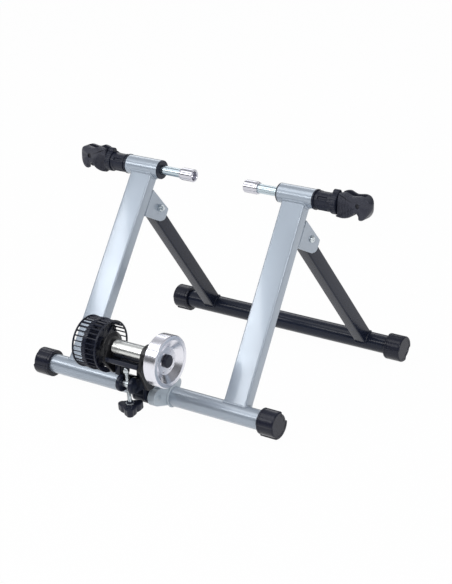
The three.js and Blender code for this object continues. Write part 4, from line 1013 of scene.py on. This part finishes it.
for node, ending, finish, body, shape in (
        ("pivot_bolt", "domed", zinc, "front_frame", turned(shank, pivot_at, steps=64)),
        ("pivot_nut", "hex", zinc, "front_frame", nut(7.0, 4.15, -16.3, -10.3, pivot_at)),
        ("pivot_spacer", "turned", zinc, "front_frame",
         ring(clear_bore, 7.5, 24.3, 27.2, 0.3, pivot_at, steps=64)),
        ("trunnion_nut", "turned", zinc, "trunnion", turned(barrel, screw_origin, steps=72)),
        ("adjuster_screw", "threaded", zinc, "screw", threaded(screw_low, screw_high)),
        ("jam_nut", "hex", (black_paint[0], "steel"), "screw",
         nut(6.5, 4.15, -38.6, -35.6, screw_origin, screw_up)),
        ("screw_washer", "flat", zinc, "screw",
         ring(clear_bore, 8.0, -40.7, -38.9, 0.35, screw_origin, screw_up, 72)),
        ("thrust_cap", "domed", zinc, "thrust", turned(dome, screw_origin, screw_up, 72))):
    make_piece(f"{node}_{ending}", [shape], finish, body, node)

knob_low, knob_high, knob_boss_top = -58.0, -43.0, -41.0
knob_hub, knob_lobe, knob_lobe_at, knob_turn = 10.0, 7.0, 19.0, 155.0


def knob_outline(steps=360, blend=2.6):
    """Radius by angle: each lobe is the line drawn round the hub and a tip circle, read as a radius
    for every angle; the three are joined by ln(sum exp(k r)) / k, which fills the valleys."""
    reaches = []
    for way in np.radians(knob_turn + 120 * np.arange(3)):
        tip = [knob_lobe_at * np.cos(way), knob_lobe_at * np.sin(way), knob_lobe]
        line = round_outline([[0, 0, knob_hub], tip], 240)
        at = np.arctan2(line[:, 1], line[:, 0]) % (2 * np.pi)
        order = np.argsort(at)
        reaches.append(np.interp(angles(steps), at[order], np.hypot(*line.T)[order], period=2 * np.pi))
    longest = np.max(reaches, axis=0)
    joined = np.log(np.exp(blend * (reaches - longest)).sum(axis=0)) / blend + longest
    return np.minimum(joined, knob_lobe_at + knob_lobe)


outline = knob_outline()
rows = [(0.0, knob_low + 3.5), (outline * 0.4, knob_low + 2.6), (outline - 3.4, knob_low + 1.0),
        *rolled(outline, knob_low, 2.4, quarter(6)),
        *rolled(outline, knob_high, 2.0, quarter(6)[::-1], way=-1),
        (outline * 0.55, knob_high - 0.6), (np.minimum(outline * 0.5, 9.0), knob_high - 0.2),
        (8.8, knob_high), (8.6, knob_boss_top - 0.4), (8.2, knob_boss_top),
        (clear_bore, knob_boss_top), (4.2, knob_high)]
make_piece("three_lobed_knob", [turned(rows, screw_origin, screw_up, len(outline))], black_plastic,
           "screw", "adjuster_knob", crease=38)

# The carriage: a pressed steel web over the screw's cap, a riser behind it and a knuckle on the
# pivot bolt, all welded and painted black, with a cast arm at each end that holds a ball bearing.
axle_back, axle_height = -72.0, 131.0
axle_at = (0, axle_back, axle_height)
axle_bore = 6.3
web_left, web_right, web_bottom, web_top = -37.7, 36.7, 88.0, 112.3
stem_left, stem_right, riser_front, riser_rear = -2.7, 16.7, -49.0, -44.0


def slab(x, y, z, ease=0.8):
    """A box from its limits along x, y and z, with eased edges."""
    return plate(eased(boxed(*y, *z), ease, steps=3, closed=True), *x, ease=ease)


def folded_web(start, end, inner=2.5, steps=6):
    """The web and its front lip as one bent strip: flat at the top, a quarter bend of 4 mm, a lip."""
    bend = quarter(steps)
    outer = [(-46.5, 110.0), *((-98.0 - 4.0 * np.sin(a), 114.0 - 4.0 * np.cos(a)) for a in bend),
             (-102.0, 120.0), (-99.5, 120.0),
             *((-98.0 - 1.5 * np.sin(a), 114.0 - 1.5 * np.cos(a)) for a in bend[::-1]),
             (-46.5, 110.0 + inner)]
    return plate(outer, start, end, ease=0.3)


web_seam = np.stack([np.linspace(-35, 34, 90), np.full(90, -49.2), np.full(90, 109.8)], axis=1)
stem_seam = np.stack([np.full(30, -3.2), np.full(30, -49.2), np.linspace(54, 88, 30)], axis=1)
make_piece("carriage_yoke_pressed",
           [ring(4.2, 15, stem_left, stem_right, 0.8, pivot_at, ease_steps=4),
            slab((stem_left, stem_right), (riser_front, riser_rear), (50, web_top)),
            slab((web_left, web_right), (riser_front, riser_rear), (web_bottom, web_top)),
            folded_web(web_left, web_right), slab((web_left, -24.7), (-74, -44), (77, 97), ease=1.5),
            bead_along(web_seam, radius=2.2, ripple=3.2), bead_along(stem_seam, radius=1.8),
            bead_along(stem_seam * (-1, 1, 1) + (14, 0, 0), radius=1.8)],
           black_paint, "carriage", "carriage_yoke")


def cast_arm(start, end, foot):
    """A tapering arm from the bearing eye down to its rounded foot."""
    circles = [[axle_back, axle_height, 22], [-72.2, foot + 8.33, 8.33], [-63.8, foot + 8.33, 8.33],
               [-99.5, 110, 2.5]]
    return plate(round_outline(circles, steps=240), start, end, ease=1.4)


def ring_round_axle(profile, steps=120):
    """A closed profile of (radius, x) with eased corners, carried round the axle."""
    return turned(eased(profile, 0.7, steps=4, closed=True), axle_at, steps=steps, closed=True)


def square_ring(inner, outer, start, end, steps=120):
    """A ring of rectangular section round the axle."""
    return ring(inner, outer, start, end, 0.7, axle_at, steps=steps, ease_steps=4)


arm_black = painted("arm_black", (0.012, 0.012, 0.014), (0.02, 0.02, 0.022), (0.06, 0.06, 0.06),
                    slot="black_paint")
left_cone = ring_round_axle([[14.4, -45], [28.8, -45], [29, -42.7], [24, -40.4], [19.5, -37.7],
                             [14.4, -37.7]])
right_cone = ring_round_axle([[14.4, 37], [19.5, 37], [22, 44], [22, 51], [14.4, 51]])
for name, surfaces, node in (
        ("cast_arm_left", [cast_arm(-45.0, -38.0, 80.0), left_cone, square_ring(7, 14.6, -38.9, -37.7)],
         "yoke_arm_left"),
        ("cast_arm_right", [cast_arm(37.0, 44.0, 63.0), right_cone], "yoke_arm_right")):
    make_piece(name, surfaces, arm_black, "carriage", node)
bearing_steel = plated("bearing_steel", (0.6, 0.6, 0.61), (0.5, 0.5, 0.52), "steel")
for side_name, start, end in (("left", -44.5, -38.5), ("right", 37.5, 43.5)):
    make_piece(f"ball_bearing_{side_name}",
               [square_ring(11.2, 14, start, end, 96), square_ring(axle_bore, 8.4, start, end, 96),
                square_ring(8.3, 11.3, start + 0.5, end - 0.5, 96)],
               bearing_steel, "carriage", f"bearing_{side_name}")

# The roller: a ground steel tube that the tyre runs on, with a fine turned grain, on a steel axle
# that carries the fan at its left end and the flywheel at its right end.
roller_half, roller_radius, roller_edge = 34.0, 16.2, 0.6
roller_profile = eased([
    [axle_bore, -roller_half], [roller_radius - roller_edge, -roller_half],
    [roller_radius, roller_edge - roller_half], [roller_radius, roller_half - roller_edge],
    [roller_radius - roller_edge, roller_half], [axle_bore, roller_half]], 0.3, steps=3, closed=True)
roller_steel = lathe_turned("roller_steel", (0.8, 0.81, 0.79), (0.7, 0.71, 0.69), 0.04, 0.24, 0.34, 1500.0,
                            "machined_steel")
make_piece("ground_roller", [turned(roller_profile, axle_at, steps=160, closed=True)], roller_steel,
           "rotor", "roller")
steel = plated("steel", (0.4, 0.4, 0.41), (0.32, 0.32, 0.33))
axle_profile = eased([[0, -86.9], [5.4, -86.9], [6, -86.3], [6, 82.1], [5.4, 82.7], [0, 82.7]], 0.2,
                     steps=3)
make_piece("axle_ground", [turned(axle_profile, axle_at, steps=72)], steel, "rotor", "roller_axle")

# The fan: moulded black plastic, a squirrel cage of curved blades between two thin rims, with a
# toothed middle ring that holds the solid plate, its ten spokes and its hub.
fan_blade_count, blade_inner, blade_depth, blade_start, blade_end = 30, 44.6, 4.1, -100.6, -46.4
rim_inner, rim_outer, spoke_count = 46.9, 50.0, 10


def blade_outline(turn_to, steps=9):
    """A curved section: its middle line leans 0.03 rad backwards with the square of its run, and
    its half thickness is 1.1 mm, thinner at both ends."""
    run = np.linspace(0, 1, steps)
    radius = blade_inner + blade_depth * run
    lean = turn_to - 0.03 * run ** 2
    half = (0.5 + 0.6 * np.sin(np.pi * run)) / radius
    angle = np.concatenate([lean - half, (lean + half)[::-1]])
    reach = np.concatenate([radius, radius[::-1]])
    return np.stack([reach * np.cos(angle), reach * np.sin(angle)], axis=1)


def toothed_ring(start, end, inner, outer, teeth, depth, steps=720):
    """A ring whose outer edge is stepped: outer - depth * soft square wave of teeth * angle."""
    tooth = outer - depth * smooth_step(np.cos(angles(steps) * teeth), -0.25, 0.25)
    rows = [(inner, start), (tooth - 0.6, start), (tooth, start + 0.6), (tooth, end - 0.6),
            (tooth - 0.6, end), (inner, end)]
    return turned(rows, axle_at, steps=steps, closed=True)


fan_parts = [plate(blade_outline(2 * np.pi * (i + 0.5) / fan_blade_count), blade_start, blade_end,
                   ease=0.02, origin=axle_at, steps=1) for i in range(fan_blade_count)]
fan_parts += [square_ring(rim_inner, rim_outer, -101, -98.2, 180),
              square_ring(rim_inner, rim_outer, -48.8, -46, 180),
              toothed_ring(-79.5, -70.5, 43.5, rim_outer, 60, 1.3),
              ring_round_axle([[12, -77], [46, -77], [46, -72], [30, -71.4], [24, -69], [12, -69]], 180),
              square_ring(axle_bore, 13, -84.5, -64.5, 96)]
fan_parts += [plate(boxed(12.0, 43.0, -1.2, 1.2), -79.4, -68.6, ease=0.3,
                    axes=((0, np.cos(a), np.sin(a)), (0, -np.sin(a), np.cos(a)), (1, 0, 0)),
                    origin=axle_at, steps=2) for a in angles(spoke_count)]
make_piece("squirrel_cage_fan", fan_parts, black_plastic, "rotor", "fan_wheel")

# The flywheel: turned and bright plated steel. The face is a flat ring round a shallow cone with a
# flat floor, which has six small drilled holes. A black plastic cap closes the axle's end.
hole_circle, hole_radius, dish_floor = 20.0, 1.9, 83.0
flywheel_finish = lathe_turned("flywheel_plate", (0.86, 0.86, 0.92), (0.78, 0.78, 0.84), 0.01, 0.17, 0.26,
                               slot="machined_steel")
face_profile = eased([[14, 66.2], [14, 73], [41, 73], [41, 66.2], [48.6, 66.0], [50, 67.4], [50, 90.6],
                      [48.6, 92.0], [41, 92.0], [26.2, 83.1], [26.0, 82.0], [14, 82.0]],
                     [0.3, 0.8, 0.8, 0.5, 0.7, 0.7, 0.7, 0.7, 0.5, 0.2, 0.2, 0.2], steps=4, closed=True)


def drilled_floor(inner=axle_bore, outer=26.3, rows=90, columns=540):
    """The floor of the dish: lower by 3.2 mm within the radius of each of six holes on their circle,
    with a narrow countersink of 0.5 mm round each."""
    r, a = np.meshgrid(np.linspace(inner, outer, rows), angles(columns), indexing="ij")
    near = (a + np.pi / 6) % (np.pi / 3) - np.pi / 6
    far = np.sqrt(r ** 2 + hole_circle ** 2 - 2 * r * hole_circle * np.cos(near))
    x = (dish_floor - 3.2 * (1 - smooth_step(far, hole_radius, hole_radius + 0.3))
         - 0.5 * (1 - smooth_step(far, hole_radius + 0.3, hole_radius + 1.2)))
    return surface(about_x(x, axle_at[1:], r, a))


make_piece("turned_flywheel", [turned(face_profile, axle_at, steps=256, closed=True), drilled_floor(),
                               ring(axle_bore, 14.1, 66.2, 79, 0.4, axle_at)],
           flywheel_finish, "rotor", "flywheel", crease=24)
cap_profile = eased([[0, 83.4], [12.2, 83.4], [12.4, 83.8], [12.4, 87.8], [10.9, 89.2], [0, 89.3]], 1.0,
                    steps=6)
make_piece("flywheel_cap_moulded", [turned(cap_profile, axle_at)], black_plastic, "rotor", "flywheel_cap")
